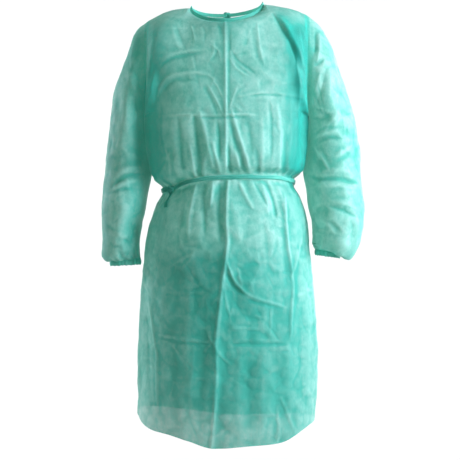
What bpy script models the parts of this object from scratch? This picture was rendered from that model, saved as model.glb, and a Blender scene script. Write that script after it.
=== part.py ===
"""Disposable isolation gown of thin non-woven cloth, hollow, in the form it takes when it is worn.

Metres, +Z up. The front faces -Y and the wearer's left side is at +X. The origin lies between the two
shoulder seams, at the neck, where the wearer's shoulders hold the gown up. Every panel is a grid of points
worked out from a section table, given a wall that is built inwards from the outside of the cloth.
"""

import math
from collections import namedtuple

import bmesh
import bpy
import numpy as np

# ------------------------------------------------------------------ driving dimensions, in metres
WALL = 0.0012            # thickness of a cloth wall
SEAM_GAP = 0.0004        # between two pieces that are sewn together
LAP_STEP = 0.0030        # how far the under back panel lies inside the outer one
LAP_SIDE = (0.50, 0.80)  # shares of a half width between which it goes in under it

NECK_HALF = 0.0925       # half the width of the neckline, at the shoulder seams
NECK_FRONT = 0.0990      # how far the neckline reaches forward of the shoulder seams
NECK_BACK = 0.0720       # and backward
NECK_FRONT_DROP = 0.0540
NECK_BACK_DROP = 0.0120
SHOULDER_HALF = 0.1975   # half the width between the two armholes
SHOULDER_LINE = 0.0050   # how far back the shoulder seam lies at the neck
ARMHOLE_DEPTH = 0.0720   # how far an armhole reaches forward and backward
CHEST_FALL = 3.0         # how fast the cloth turns from the shoulder down to the chest
CHEST_SIDE = (0.30, 1.00)    # shares of a half width between which the chest swells to the armhole
ARMHOLE_SIDE = (0.45, 0.90)  # and between which it takes on the armhole's own curve
FOLD_REACH = 0.30        # length of cloth over half a panel's width, by which a fold's width counts
FOLD_FADE = 4.0          # one over the share of a fold's length over which each end fades out
BELT_QUIET = (0.010, 0.040)  # distances from the belt over which the folds grow from nothing

UNDERARM = -0.270
WAIST = -0.445
SKIRT_TOP = -0.620
HEM = -1.050

BINDING_HEIGHT = 0.0100
BINDING_THICK = 0.0020
BINDING_LEAN = 0.45      # inward lean of the binding for each unit up
BELT_HEIGHT = 0.0100
BELT_THICK = 0.0032
BELT_CLEAR = 0.0006      # between the belt and the cloth it gathers
BELT_HALF = (0.168, 0.113)   # half the width and half the depth of the loop that the belt makes
KNOT_ANGLE = -56.0       # where the belt is tied, in degrees round from the centre front
KNOT_HALF = (0.0100, 0.0048, 0.0095)
KNOT_RADIUS = 0.142      # of the waist where the belt's knot lies
BELT_STEP = 0.03         # least share of a half width between two points of the belt
KNOT_SWELL = 1.10        # how far the turns of cloth round a knot stand out
KNOT_SEAT = 0.0006       # between the nape's knot and the leaning binding, at its middle
TAIL_WIDTH = 0.0100
TAIL_THICK = 0.0016
TAIL_LENGTH = 0.0300
NECK_KNOT_HALF = (0.0085, 0.0048, 0.0075)
NECK_TIE_WIDTH = 0.0090
NECK_TIE_LENGTH = 0.170
TIE_STEPS = 10
TIE_START = 0.0049       # of each tie's middle from the middle of the back, under the knot
TIE_SPREAD = 0.0200      # how much farther out it is at its end
TIE_FALL = 0.050         # how quickly a tie swings in from the knot to the back
TIE_BEND = 1.3           # how late along its length it goes outward
TIE_CLEAR = 0.0034       # how far a hanging end lies off the cloth under it
CUFF_HEIGHT = 0.0180
CUFF_THICK = 0.0022
CUFF_SEAT = 0.0006       # between the cuff's top and the end of the sleeve

# ------------------------------------------------------------------ how finely the cloth is divided
NECK_SHARE = 0.45        # share of a panel's half width that the neckline takes along its top
NECK_COLUMNS = 12
SHOULDER_COLUMNS = 7
YOKE_ROWS = 8
SKIRT_LEVELS = (-0.315, -0.355, -0.388, -0.414, -0.429, -0.438, -0.452, -0.461, -0.478, -0.508,
                -0.550, -0.605, -0.675, -0.750, -0.825, -0.900, -0.975, HEM)
BACK_EDGE_COLUMNS = 8
NAPE_SHARE = 0.006       # half the slit between the binding's two ends
ROUND = 2 * YOKE_ROWS    # points round a sleeve, so that they meet the rows of the yoke

FRONT, BACK = -1, 1      # the side of the gown, as the sign of Y
LEFT, RIGHT = 1, -1      # the wearer's own left and right, as the sign of X

# ------------------------------------------------------------------ tables
Section = namedtuple("Section", "name level right left front back corner")
BODY = (
    Section("collar bone", -0.060, 0.197, 0.197, 0.126, 0.110, 3.1),
    Section("chest", -0.160, 0.197, 0.197, 0.131, 0.117, 3.0),
    Section("underarm", UNDERARM, 0.197, 0.197, 0.137, 0.122, 2.8),
    Section("ribs", -0.335, 0.1945, 0.1955, 0.143, 0.127, 2.6),
    Section("blouse", -0.388, 0.1885, 0.1905, 0.147, 0.130, 2.5),
    Section("over belt", -0.418, 0.1820, 0.1850, 0.138, 0.122, 2.4),
    Section("belt top", -0.438, 0.1600, 0.1665, 0.1200, 0.1060, 2.3),
    Section("belt foot", -0.452, 0.1600, 0.1665, 0.1200, 0.1060, 2.3),
    Section("under belt", -0.480, 0.174, 0.182, 0.134, 0.122, 2.3),
    Section("high hip", -0.530, 0.190, 0.199, 0.144, 0.137, 2.3),
    Section("hip", SKIRT_TOP, 0.204, 0.207, 0.152, 0.150, 2.2),
    Section("thigh", -0.740, 0.214, 0.219, 0.159, 0.154, 2.2),
    Section("knee", -0.900, 0.221, 0.224, 0.168, 0.156, 2.2),
    Section("hem", HEM, 0.2205, 0.2195, 0.174, 0.158, 2.2),
)

Place = namedtuple("Place", "name around height")
BELT_ROUTE = (
    Place("right side", -90.0, -0.4575),
    Place("knot", KNOT_ANGLE, -0.4570),
    Place("front right", -32.0, -0.4385),
    Place("front", 4.0, -0.4270),
    Place("front left", 50.0, -0.4305),
    Place("left side", 90.0, -0.4360),
    Place("back", 180.0, -0.4480),
)
HEM_ROUTE = (
    Place("right side", -90.0, -1.004),
    Place("front right", -52.0, -1.042),
    Place("front", -10.0, -1.066),
    Place("front left", 44.0, -1.058),
    Place("left side", 90.0, -1.022),
    Place("back", 180.0, -1.042),
)

# A shoulder seam's height at the neck and at the armhole, and how far it bows up between them.
Shoulder = namedtuple("Shoulder", "neck tip crown")
SHOULDERS = {RIGHT: Shoulder(-0.002, -0.034, 0.009), LEFT: Shoulder(0.008, -0.018, 0.005)}

# Where one back panel's free edge lies beyond the middle of the back, as a share of a half width.
Edge = namedtuple("Edge", "name row share")
BACK_EDGE = (
    Edge("neck", 0.0, 0.010),
    Edge("shoulder blade", 0.5, 0.180),
    Edge("underarm", 1.0, 0.250),
    Edge("hem", 2.0, 0.280),
)

# The largest folds. across runs from -1 at the right side seam to 1 at the left one; a positive height is
# a ridge and a negative one a trough.
Fold = namedtuple("Fold", "name side across_top top across_low low width height")
FOLDS = (
    Fold("centre crease", FRONT, -0.015, -0.300, -0.100, -1.120, 0.020, 0.0075),
    Fold("chest drop left", FRONT, 0.620, -0.060, 0.560, -0.400, 0.040, 0.0060),
    Fold("chest drop right", FRONT, -0.640, -0.060, -0.600, -0.400, 0.040, 0.0050),
    Fold("blouse left", FRONT, 0.300, -0.340, 0.330, -0.432, 0.030, 0.0060),
    Fold("blouse right", FRONT, -0.300, -0.350, -0.330, -0.432, 0.030, 0.0050),
    Fold("hip left", FRONT, 0.380, -0.460, 0.520, -0.720, 0.030, 0.0060),
    Fold("hip right", FRONT, -0.400, -0.466, -0.480, -0.700, 0.030, 0.0050),
    Fold("skirt trough left", FRONT, 0.140, -0.600, 0.160, -1.100, 0.050, -0.0040),
    Fold("skirt trough right", FRONT, -0.320, -0.600, -0.360, -1.100, 0.050, -0.0040),
    Fold("side flute left", FRONT, 0.780, -0.560, 0.760, -1.100, 0.050, 0.0045),
    Fold("side flute right", FRONT, -0.800, -0.560, -0.780, -1.100, 0.050, 0.0045),
    Fold("back flute left", BACK, 0.620, -0.500, 0.600, -1.100, 0.055, 0.0080),
    Fold("back flute right", BACK, -0.620, -0.500, -0.600, -1.100, 0.055, 0.0080),
    Fold("blade drop left", BACK, 0.560, -0.100, 0.480, -0.425, 0.045, 0.0060),
    Fold("blade drop right", BACK, -0.560, -0.100, -0.480, -0.425, 0.045, 0.0060),
)

# A sleeve section runs from its outer point to its inner point, and is as deep as it says each way.
SleeveSection = namedtuple("SleeveSection", "name outer_x outer_z inner_x inner_z forward depth")
SLEEVES = {
    LEFT: (
        SleeveSection("armhole", 0.1975, -0.018, 0.1970, UNDERARM, 0.000, ARMHOLE_DEPTH),
        SleeveSection("cap", 0.2330, -0.047, 0.1986, -0.2730, 0.000, 0.0770),
        SleeveSection("shoulder", 0.2620, -0.099, 0.1992, -0.2780, 0.001, 0.0800),
        SleeveSection("upper arm", 0.2800, -0.150, 0.1992, -0.2870, 0.003, 0.0810),
        SleeveSection("biceps", 0.2980, -0.205, 0.1988, -0.3020, 0.004, 0.0800),
        SleeveSection("mid arm", 0.3155, -0.262, 0.1976, -0.3270, 0.004, 0.0780),
        SleeveSection("over elbow", 0.3295, -0.330, 0.1954, -0.3640, 0.003, 0.0760),
        SleeveSection("elbow", 0.3350, -0.400, 0.1900, -0.4080, 0.000, 0.0750),
        SleeveSection("under elbow", 0.3370, -0.455, 0.1978, -0.4560, -0.005, 0.0740),
        SleeveSection("forearm", 0.3405, -0.500, 0.2020, -0.4980, -0.010, 0.0730),
        SleeveSection("low forearm", 0.3395, -0.540, 0.2090, -0.5380, -0.015, 0.0700),
        SleeveSection("puff", 0.3320, -0.578, 0.2125, -0.5720, -0.019, 0.0640),
        SleeveSection("puff foot", 0.3190, -0.608, 0.2150, -0.5910, -0.022, 0.0540),
        SleeveSection("roll", 0.3030, -0.623, 0.2185, -0.5980, -0.024, 0.0430),
        SleeveSection("wrist", 0.2880, -0.613, 0.2225, -0.6010, -0.025, 0.0310),
    ),
    RIGHT: (
        SleeveSection("armhole", 0.1975, -0.034, 0.1970, UNDERARM, 0.000, ARMHOLE_DEPTH),
        SleeveSection("cap", 0.2250, -0.059, 0.1986, -0.2730, 0.000, 0.0770),
        SleeveSection("shoulder", 0.2425, -0.100, 0.1992, -0.2780, 0.001, 0.0800),
        SleeveSection("upper arm", 0.2575, -0.143, 0.1992, -0.2870, 0.003, 0.0810),
        SleeveSection("biceps", 0.2735, -0.195, 0.1988, -0.3020, 0.004, 0.0800),
        SleeveSection("mid arm", 0.2865, -0.255, 0.1976, -0.3270, 0.004, 0.0780),
        SleeveSection("over elbow", 0.2975, -0.330, 0.1950, -0.3640, 0.003, 0.0760),
        SleeveSection("elbow", 0.3040, -0.405, 0.1880, -0.4120, 0.000, 0.0750),
        SleeveSection("under elbow", 0.3090, -0.455, 0.1955, -0.4560, -0.005, 0.0740),
        SleeveSection("forearm", 0.3115, -0.500, 0.2030, -0.5000, -0.010, 0.0730),
        SleeveSection("low forearm", 0.3085, -0.548, 0.2150, -0.5440, -0.015, 0.0700),
        SleeveSection("puff", 0.3095, -0.590, 0.2165, -0.5850, -0.019, 0.0630),
        SleeveSection("puff foot", 0.3120, -0.617, 0.2155, -0.6080, -0.022, 0.0530),
        SleeveSection("roll", 0.3020, -0.634, 0.2145, -0.6180, -0.024, 0.0430),
        SleeveSection("wrist", 0.2890, -0.629, 0.2130, -0.6220, -0.025, 0.0330),
    ),
}

Finish = namedtuple("Finish", "name colour roughness")
CLOTH = Finish("green_nonwoven", (0.16, 0.60, 0.53, 1.0), 0.62)
TRIM = Finish("green_nonwoven_folded", (0.06, 0.42, 0.35, 1.0), 0.62)


# ------------------------------------------------------------------ curves through tables
def through(keys, values, at):
    """Smooth curve through the given points, which stays between them, read at the places `at`."""
    keys = np.asarray(keys, dtype=float)
    values = np.asarray(values, dtype=float)
    at = np.asarray(at, dtype=float)
    span = np.diff(keys)
    slope = np.diff(values) / span
    product = slope[:-1] * slope[1:]
    total = np.where(product > 0, slope[:-1] + slope[1:], 1.0)
    inner = np.where(product > 0, 2 * product / total, 0.0)
    tangent = np.concatenate([slope[:1], inner, slope[-1:]])
    piece = np.clip(np.searchsorted(keys, at, side="right") - 1, 0, len(span) - 1)
    f = np.clip((at - keys[piece]) / span[piece], 0.0, 1.0)
    start = (1 + 2 * f) * (1 - f) ** 2 * values[piece]
    end = f * f * (3 - 2 * f) * values[piece + 1]
    leave = f * (1 - f) ** 2 * span[piece] * tangent[piece]
    arrive = f * f * (f - 1) * span[piece] * tangent[piece + 1]
    return start + end + leave + arrive


def body_column(name, level):
    """One column of the body's section table at a level, which falls from the underarm to the hem."""
    return through([-row.level for row in BODY], [getattr(row, name) for row in BODY], -level)


def round_the_body(route, around):
    """Height of a route that closes on itself, at angles of -180 to 180 degrees from the front."""
    angles = [row.around for row in route]
    heights = [row.height for row in route]
    angles = [angles[-1] - 360.0] + angles + [angles[0] + 360.0]
    heights = [heights[-1]] + heights + [heights[0]]
    return through(angles, heights, around)


def share_between(value, ends):
    """How far a value lies from the first of two ends, 0, to the second, 1."""
    return (value - ends[0]) / (ends[1] - ends[0])


def soft_step(value):
    """0 below 0, 1 above 1, and an even turn between."""
    value = np.clip(value, 0.0, 1.0)
    return value * value * (3 - 2 * value)


# ------------------------------------------------------------------ the body's surface
def ring(side, across, level):
    """A point on the body below the armholes: a rounded section, with the belt's and the hem's slope."""
    turn = across * math.pi / 2
    corner = body_column("corner", level)
    half = np.where(across < 0, body_column("right", level), body_column("left", level))
    depth = body_column("front" if side == FRONT else "back", level)
    swell = (np.abs(np.sin(turn)) ** corner + np.abs(np.cos(turn)) ** corner) ** (-1 / corner)
    around = across * 90.0 if side == FRONT else np.sign(across + 1e-12) * 180.0 - across * 90.0
    near_belt = soft_step((level - SKIRT_TOP) / (WAIST - SKIRT_TOP))
    near_belt = near_belt * soft_step((UNDERARM - level) / (UNDERARM - WAIST))
    near_hem = soft_step((SKIRT_TOP - level) / (SKIRT_TOP - HEM))
    height = level + near_belt * (round_the_body(BELT_ROUTE, around) - WAIST)
    height = height + near_hem * (round_the_body(HEM_ROUTE, around) - HEM)
    return np.stack([half * np.sin(turn) * swell, side * depth * np.cos(turn) * swell, height], -1)


def top_line(side, across):
    """The neckline and the two shoulder seams, which are a panel's top edge."""
    hand = np.where(across < 0, RIGHT, LEFT)
    turn = np.minimum(np.abs(across) / NECK_SHARE, 1.0) * math.pi / 2
    along = np.clip((np.abs(across) - NECK_SHARE) / (1 - NECK_SHARE), 0.0, 1.0)
    tip = np.where(hand == LEFT, SHOULDERS[LEFT].tip, SHOULDERS[RIGHT].tip)
    crown = np.where(hand == LEFT, SHOULDERS[LEFT].crown, SHOULDERS[RIGHT].crown)
    leftward = (1 + hand * np.sin(turn)) / 2
    seam = SHOULDERS[RIGHT].neck + (SHOULDERS[LEFT].neck - SHOULDERS[RIGHT].neck) * leftward
    reach, drop = (NECK_FRONT, NECK_FRONT_DROP) if side == FRONT else (NECK_BACK, NECK_BACK_DROP)
    x = hand * (NECK_HALF * np.sin(turn) + (SHOULDER_HALF - NECK_HALF) * along)
    y = SHOULDER_LINE * (1 - along) + side * reach * np.cos(turn)
    z = seam + (tip - seam) * along + crown * np.sin(math.pi * along) - drop * np.cos(turn)
    return np.stack([x, y, z], -1)


def yoke(side, across, row):
    """A point above the underarm, row 0 on the top edge and row 1 at the underarm.

    The height follows the armhole, an ellipse seen from the side. The depth turns quickly from the
    shoulder to the chest, and near the side it is drawn on to the armhole.
    """
    turn = math.pi * row
    fall = (1 - np.cos(turn)) / 2
    spread = 1 - (1 - fall) ** 2
    forward = np.sqrt(1 - (1 - fall) ** CHEST_FALL)
    top = top_line(side, across)
    chest = ring(side, across, UNDERARM * fall)
    chest[..., 2] = UNDERARM
    point = top + (chest - top) * np.stack([spread, forward, fall], -1)
    near_side = soft_step(share_between(np.abs(across), CHEST_SIDE))
    at_edge = soft_step(share_between(np.abs(across), ARMHOLE_SIDE))
    swell = 27 / 4 * fall * (1 - fall) ** 2
    bulge = swell * (1 - at_edge) + np.sin(turn) * at_edge
    point[..., 1] += side * ARMHOLE_DEPTH * bulge * near_side
    return point


def fold_height(side, across, height):
    """How far the largest folds lift the cloth at a point of one side."""
    lift = np.zeros_like(height)
    for fold in FOLDS:
        if fold.side != side:
            continue
        along = (fold.top - height) / (fold.top - fold.low)
        middle = fold.across_top + (fold.across_low - fold.across_top) * np.clip(along, 0.0, 1.0)
        beside = (across - middle) * FOLD_REACH / fold.width
        taper = soft_step(along * FOLD_FADE) * soft_step((1 - along) * FOLD_FADE)
        lift += fold.height * taper * np.exp(-beside * beside)
    belt = np.abs(height - round_the_body(BELT_ROUTE, across * 90.0 if side == FRONT else 180.0))
    return lift * soft_step(share_between(belt, BELT_QUIET))


def plain_surface(side, across, row):
    """The body without folds. Past the shoulder seam or a side seam it goes on round the other side."""
    across = np.asarray(across, dtype=float)
    row = np.asarray(row, dtype=float)
    over = row < 0
    beyond = np.abs(across) > 1
    inside = np.where(beyond & (row > 1), np.sign(across) * (2 - np.abs(across)), np.clip(across, -1, 1))
    level = UNDERARM + (np.clip(row, 1, 2) - 1) * (HEM - UNDERARM)
    low_here, low_there = ring(side, inside, level), ring(-side, inside, level)
    high_here = yoke(side, inside, np.clip(row, 0, 1))
    high_there = yoke(-side, inside, np.clip(-row, 0, 1))
    low = np.where(beyond[..., None], low_there, low_here)
    high = np.where(over[..., None], high_there, high_here)
    return np.where((row > 1)[..., None], low, high)


def unit(vectors):
    """The same directions with length 1."""
    return vectors / np.maximum(np.linalg.norm(vectors, axis=-1, keepdims=True), 1e-12)


def body_points(side, across, row):
    """Points of one side of the body with its folds, and the outward directions there."""
    step = 0.004
    sideways = plain_surface(side, across + step, row) - plain_surface(side, across - step, row)
    down = plain_surface(side, across, row + step) - plain_surface(side, across, row - step)
    outward = unit(side * np.cross(sideways, down))
    point = plain_surface(side, across, row)
    lift = fold_height(side, across, point[..., 2])
    quiet = soft_step((1 - np.abs(across)) * 5)
    return point + outward * (lift * quiet)[..., None], outward


# ------------------------------------------------------------------ the sleeves' surface
def sleeve_points(hand, around, along):
    """Points round a sleeve, at angles from the outer edge by way of the front, and rows down the table."""
    rows = SLEEVES[hand]
    keys = list(range(len(rows)))
    column = {name: through(keys, [getattr(row, name) for row in rows], along)
              for name in SleeveSection._fields[1:]}
    middle_x = (column["outer_x"] + column["inner_x"]) / 2
    middle_z = (column["outer_z"] + column["inner_z"]) / 2
    reach_x = (column["outer_x"] - column["inner_x"]) / 2
    reach_z = (column["outer_z"] - column["inner_z"]) / 2
    x = hand * (middle_x + reach_x * np.cos(around))
    y = column["forward"] - column["depth"] * np.sin(around)
    z = middle_z + reach_z * np.cos(around)
    return np.stack([x, y, z], -1)


def sleeve_outward(hand, around, along):
    """The outward directions of a sleeve."""
    step = 0.01
    turn = sleeve_points(hand, around + step, along) - sleeve_points(hand, around - step, along)
    down = sleeve_points(hand, around, along + step) - sleeve_points(hand, around, along - step)
    return unit(hand * np.cross(turn, down))


def share_seam(mine, theirs, across_seam):
    """The direction for a seam's edge: the mean of both where the cloths lean together, else my own."""
    lean = np.sum((theirs - mine) * across_seam, axis=-1, keepdims=True)
    return np.where(lean > 0, unit(mine + theirs), mine)


# ------------------------------------------------------------------ making objects
def material(finish):
    """A plain Principled material, made once for each finish."""
    found = bpy.data.materials.get(finish.name)
    if found:
        return found
    made = bpy.data.materials.new(finish.name)
    made.use_nodes = True
    shader = made.node_tree.nodes["Principled BSDF"]
    shader.inputs["Base Color"].default_value = finish.colour
    shader.inputs["Roughness"].default_value = finish.roughness
    shader.inputs["Metallic"].default_value = 0.0
    made.diffuse_color = finish.colour
    return made


def add_object(name, points, faces, finish):
    """One closed piece from points and faces, its faces turned outward, under the gown's empty."""
    mesh = bpy.data.meshes.new(name)
    mesh.from_pydata([tuple(point) for point in points], [], [tuple(face) for face in faces])
    work = bmesh.new()
    work.from_mesh(mesh)
    bmesh.ops.recalc_face_normals(work, faces=work.faces)
    work.to_mesh(mesh)
    work.free()
    mesh.shade_smooth()
    mesh.materials.append(material(finish))
    piece = bpy.data.objects.new(name, mesh)
    bpy.context.scene.collection.objects.link(piece)
    piece.parent = bpy.data.objects["gown"]
    return piece


def wall(name, outer, inner, finish, closed=False):
    """A cloth wall between two grids of points; a closed one joins its last column to its first."""
    rows, columns = outer.shape[:2]
    index = np.arange(rows * columns).reshape(rows, columns)
    if closed:
        index = np.concatenate([index, index[:, :1]], axis=1)
    under = index + rows * columns
    skin = np.stack([index[:-1, :-1], index[1:, :-1], index[1:, 1:], index[:-1, 1:]], -1)
    lining = np.stack([under[:-1, :-1], under[:-1, 1:], under[1:, 1:], under[1:, :-1]], -1)
    rims = []
    for edge in (0, -1):
        rims.append(np.stack([index[edge, :-1], index[edge, 1:], under[edge, 1:], under[edge, :-1]], -1))
        if not closed:
            rims.append(np.stack([index[:-1, edge], index[1:, edge], under[1:, edge], under[:-1, edge]], -1))
    faces = [part.reshape(-1, 4) for part in [skin, lining] + rims]
    points = np.concatenate([outer.reshape(-1, 3), inner.reshape(-1, 3)])
    return add_object(name, points, np.concatenate(faces), finish)


def draw_in(grid, edges):
    """Move the named edges of a grid into it by half a seam gap."""
    moved = grid.copy()
    for edge in edges:
        here, beside = {"top": (np.s_[0, :], np.s_[1, :]), "foot": (np.s_[-1, :], np.s_[-2, :]),
                        "first": (np.s_[:, 0], np.s_[:, 1]), "last": (np.s_[:, -1], np.s_[:, -2])}[edge]
        moved[here] += unit(grid[beside] - grid[here]) * SEAM_GAP / 2
    return moved


def strip(name, path, outward, width_way, width, thick, finish, closed=False):
    """A flat band along a path, its inner face on the path and its thickness outward."""
    half = width_way * width / 2
    corners = [path - half, path + half, path + half + outward * thick, path - half + outward * thick]
    points = np.stack(corners, 1)
    count = len(path)
    index = np.arange(count * 4).reshape(count, 4)
    if closed:
        index = np.concatenate([index, index[:1]])
    faces = []
    for a in range(4):
        b = (a + 1) % 4
        faces += np.stack([index[:-1, a], index[:-1, b], index[1:, b], index[1:, a]], -1).tolist()
    if not closed:
        faces += [index[0].tolist(), index[-1].tolist()]
    return add_object(name, points.reshape(-1, 3), faces, finish)


def knot(name, centre, half, facing, finish):
    """A pulled-tight knot: a low rounded lump with two turns of cloth round its waist."""
    rings, sides = 9, 12
    fall = np.linspace(0, math.pi, rings + 1)[1:-1]
    around = np.arange(sides) * 2 * math.pi / sides
    fall, around = np.meshgrid(fall, around, indexing="ij")
    turns = 1 + (KNOT_SWELL - 1) * np.cos(4 * fall)
    x = half[0] * np.sin(fall) ** 0.8 * np.cos(around) * turns
    y = half[1] * np.sin(fall) ** 0.8 * np.sin(around) * turns
    z = half[2] * np.cos(fall)
    body = np.stack([x, y, z], -1).reshape(-1, 3)
    points = np.concatenate([body, [[0, 0, half[2]], [0, 0, -half[2]]]])
    right = np.cross(facing, (0, 0, 1))
    points = points[:, :1] * right - points[:, 1:2] * facing + points[:, 2:] * np.array((0, 0, 1))
    index = np.arange((rings - 1) * sides).reshape(rings - 1, sides)
    index = np.concatenate([index, index[:, :1]], axis=1)
    skin = np.stack([index[:-1, :-1], index[1:, :-1], index[1:, 1:], index[:-1, 1:]], -1).reshape(-1, 4)
    top, foot = len(body), len(body) + 1
    caps = [[top, index[0, k], index[0, k + 1]] for k in range(sides)]
    caps += [[foot, index[-1, k + 1], index[-1, k]] for k in range(sides)]
    return add_object(name, points + centre, skin.tolist() + caps, finish)


# ------------------------------------------------------------------ the panels
def panel_rows():
    """Rows of a panel from its top edge to its hem."""
    yoke_rows = np.linspace(0, 1, YOKE_ROWS + 1)
    skirt_rows = 1 + (np.array(SKIRT_LEVELS) - UNDERARM) / (HEM - UNDERARM)
    return np.concatenate([yoke_rows, skirt_rows])


def armhole_outward(side, hand, rows, outward):
    """The directions of a panel's armhole edge, shared with the sleeve down to the underarm."""
    edge = outward.copy()
    around = rows[:YOKE_ROWS + 1] * math.pi
    around = around if side == FRONT else 2 * math.pi - around
    sleeve = sleeve_outward(hand, around, np.zeros_like(around) + 0.01)
    edge[:YOKE_ROWS + 1] = share_seam(outward[:YOKE_ROWS + 1], sleeve, np.array((hand, 0, 0)))
    return edge


def front_columns():
    """Columns of the front, from its right side seam to its left one."""
    shoulder = np.linspace(1, NECK_SHARE, SHOULDER_COLUMNS + 1)
    neck = np.linspace(-NECK_SHARE, NECK_SHARE, NECK_COLUMNS + 1)
    return np.concatenate([-shoulder[:-1], neck, shoulder[::-1][1:]])


def front_panel():
    """The front, one piece from the neckline to the hem."""
    rows = panel_rows()
    row, across = np.meshgrid(rows, front_columns(), indexing="ij")
    points, outward = body_points(FRONT, across, row)
    outward[:, 0] = armhole_outward(FRONT, RIGHT, rows, outward[:, 0])
    outward[:, -1] = armhole_outward(FRONT, LEFT, rows, outward[:, -1])
    points = draw_in(points, ("top", "first", "last"))
    wall("front_panel", points, points - outward * WALL, CLOTH)


def back_columns(hand, rows):
    """Columns of a back panel for each row, from its side seam to its free edge past the middle."""
    edge = through([row.row for row in BACK_EDGE], [row.share for row in BACK_EDGE], rows)
    shoulder = np.linspace(1, NECK_SHARE, SHOULDER_COLUMNS + 1)[None, :-1].repeat(len(rows), 0)
    share = np.linspace(0, 1, BACK_EDGE_COLUMNS + 1)[None, :]
    inner = NECK_SHARE - (NECK_SHARE + edge[:, None]) * share
    return hand * np.concatenate([shoulder, inner], axis=1)


def lap_depth(hand, across):
    """How far a back panel lies inside the outer surface: only the left one, under the right one."""
    if hand == RIGHT:
        return np.zeros_like(across)
    return LAP_STEP * (1 - soft_step(share_between(across, LAP_SIDE)))


def back_panel(hand, name):
    """One back, from its side seam to its free edge; the wearer's right one laps over the left one."""
    rows = panel_rows()
    across = back_columns(hand, rows)
    row = rows[:, None].repeat(across.shape[1], 1)
    points, outward = body_points(BACK, across, row)
    points = points - outward * lap_depth(hand, across)[..., None]
    outward[:, 0] = armhole_outward(BACK, hand, rows, outward[:, 0])
    points = draw_in(points, ("top", "first"))
    wall(name, points, points - outward * WALL, CLOTH)


def sleeve(hand, name):
    """One sleeve, a tube from the armhole to the wrist."""
    turns = np.arange(ROUND) * 2 * math.pi / ROUND
    rows = np.arange(len(SLEEVES[hand]), dtype=float)
    along, around = np.meshgrid(rows, turns, indexing="ij")
    points = sleeve_points(hand, around, along)
    outward = sleeve_outward(hand, around, np.maximum(along, 0.01))
    side = np.where(turns <= math.pi, FRONT, BACK)
    yoke_row = np.where(turns <= math.pi, turns, 2 * math.pi - turns) / math.pi
    hand_edge = np.full_like(turns, hand)
    body_front = body_points(FRONT, hand_edge, yoke_row)[1]
    body_back = body_points(BACK, hand_edge, yoke_row)[1]
    body = np.where((side == FRONT)[:, None], body_front, body_back)
    outward[0] = share_seam(outward[0], body, np.array((-hand, 0, 0)))
    points[0] += np.array((hand * SEAM_GAP, 0, 0))
    wall(name, points, points - outward * WALL, CLOTH, closed=True)


def cuff(hand, name):
    """An elastic cuff: the turned end of the sleeve, a short tube that hangs from the wrist row."""
    turns = np.arange(ROUND) * 2 * math.pi / ROUND
    last = float(len(SLEEVES[hand]) - 1)
    wrist = sleeve_points(hand, turns, np.full_like(turns, last))
    middle = wrist.mean(axis=0)
    spread = unit((wrist - middle) * np.array((1, 1, 0)))
    rows = []
    for share, swell in ((0.0, 0.0), (0.5, 0.0012), (1.0, -0.0006)):
        fallen = wrist - np.array((0, 0, CUFF_SEAT + share * CUFF_HEIGHT))
        rows.append(fallen + spread * (swell - SEAM_GAP))
    outer = np.stack(rows)
    inner = outer - spread * CUFF_THICK
    wall(name, outer, inner, TRIM, closed=True)


# ------------------------------------------------------------------ what is sewn or tied on
def neckline(side, across):
    """Points of one side's neckline and the level directions from them to the middle of the neck."""
    points = plain_surface(side, across, np.zeros_like(across))
    middle = np.array((0, SHOULDER_LINE, 0))
    return points, unit((middle - points) * np.array((1, 1, 0)))


def neck_binding():
    """A strip folded over the neckline's raw edge, open at the nape, where its ends are tied.

    It has the same columns as the panels it is sewn to, so that its facets follow theirs.
    """
    half_back = np.abs(back_columns(LEFT, np.zeros(1))[0, SHOULDER_COLUMNS:-1])
    nape = np.array([NAPE_SHARE])
    right_back, right_in = neckline(BACK, -np.concatenate([nape, half_back[:0:-1]]))
    front, front_in = neckline(FRONT, np.linspace(-NECK_SHARE, NECK_SHARE, NECK_COLUMNS + 1))
    left_back, left_in = neckline(BACK, np.concatenate([half_back[1:], nape]))
    path = np.concatenate([right_back, front, left_back])
    inward = np.concatenate([right_in, front_in, left_in])
    rise = unit(inward * BINDING_LEAN + np.array((0, 0, 1)))
    outward = unit(np.array((0, 0, 1)) * BINDING_LEAN - inward)
    foot = SEAM_GAP + BINDING_THICK * BINDING_LEAN / 2
    centre = path + rise * (foot + BINDING_HEIGHT / 2) - outward * BINDING_THICK / 2
    strip("neck_binding", centre, outward, rise, BINDING_HEIGHT, BINDING_THICK, TRIM)
    return centre[0], outward[0]


def neck_ties(nape, outward):
    """The binding's two ends, tied at the nape and hanging down the back."""
    reach = BINDING_THICK + KNOT_SEAT + NECK_KNOT_HALF[1] * KNOT_SWELL
    centre = nape * np.array((0, 1, 1)) + outward * reach
    knot("neck_knot", centre, NECK_KNOT_HALF, np.array((0.0, 1.0, 0.0)), TRIM)
    for hand, name in ((LEFT, "neck_tie_left"), (RIGHT, "neck_tie_right")):
        share = np.linspace(0, 1, TIE_STEPS)
        height = centre[2] - NECK_KNOT_HALF[2] - SEAM_GAP - share * NECK_TIE_LENGTH
        drift = hand * (TIE_START + TIE_SPREAD * share ** TIE_BEND)
        rows = np.linspace(0, 1, 400)
        back = plain_surface(BACK, np.zeros_like(rows), rows)
        lie = np.interp(-height, -back[:, 2], back[:, 1]) + TIE_CLEAR
        lie = np.maximum(lie, centre[1] - TAIL_THICK / 2 - TIE_FALL * share)
        path = np.stack([drift, lie, height], -1)
        backward = np.array((0, 1.0, 0)) + 0 * path
        sideways = unit(np.cross(backward, np.gradient(path, axis=0)))
        strip(name, path, backward, sideways, NECK_TIE_WIDTH, TAIL_THICK, TRIM)


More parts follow.
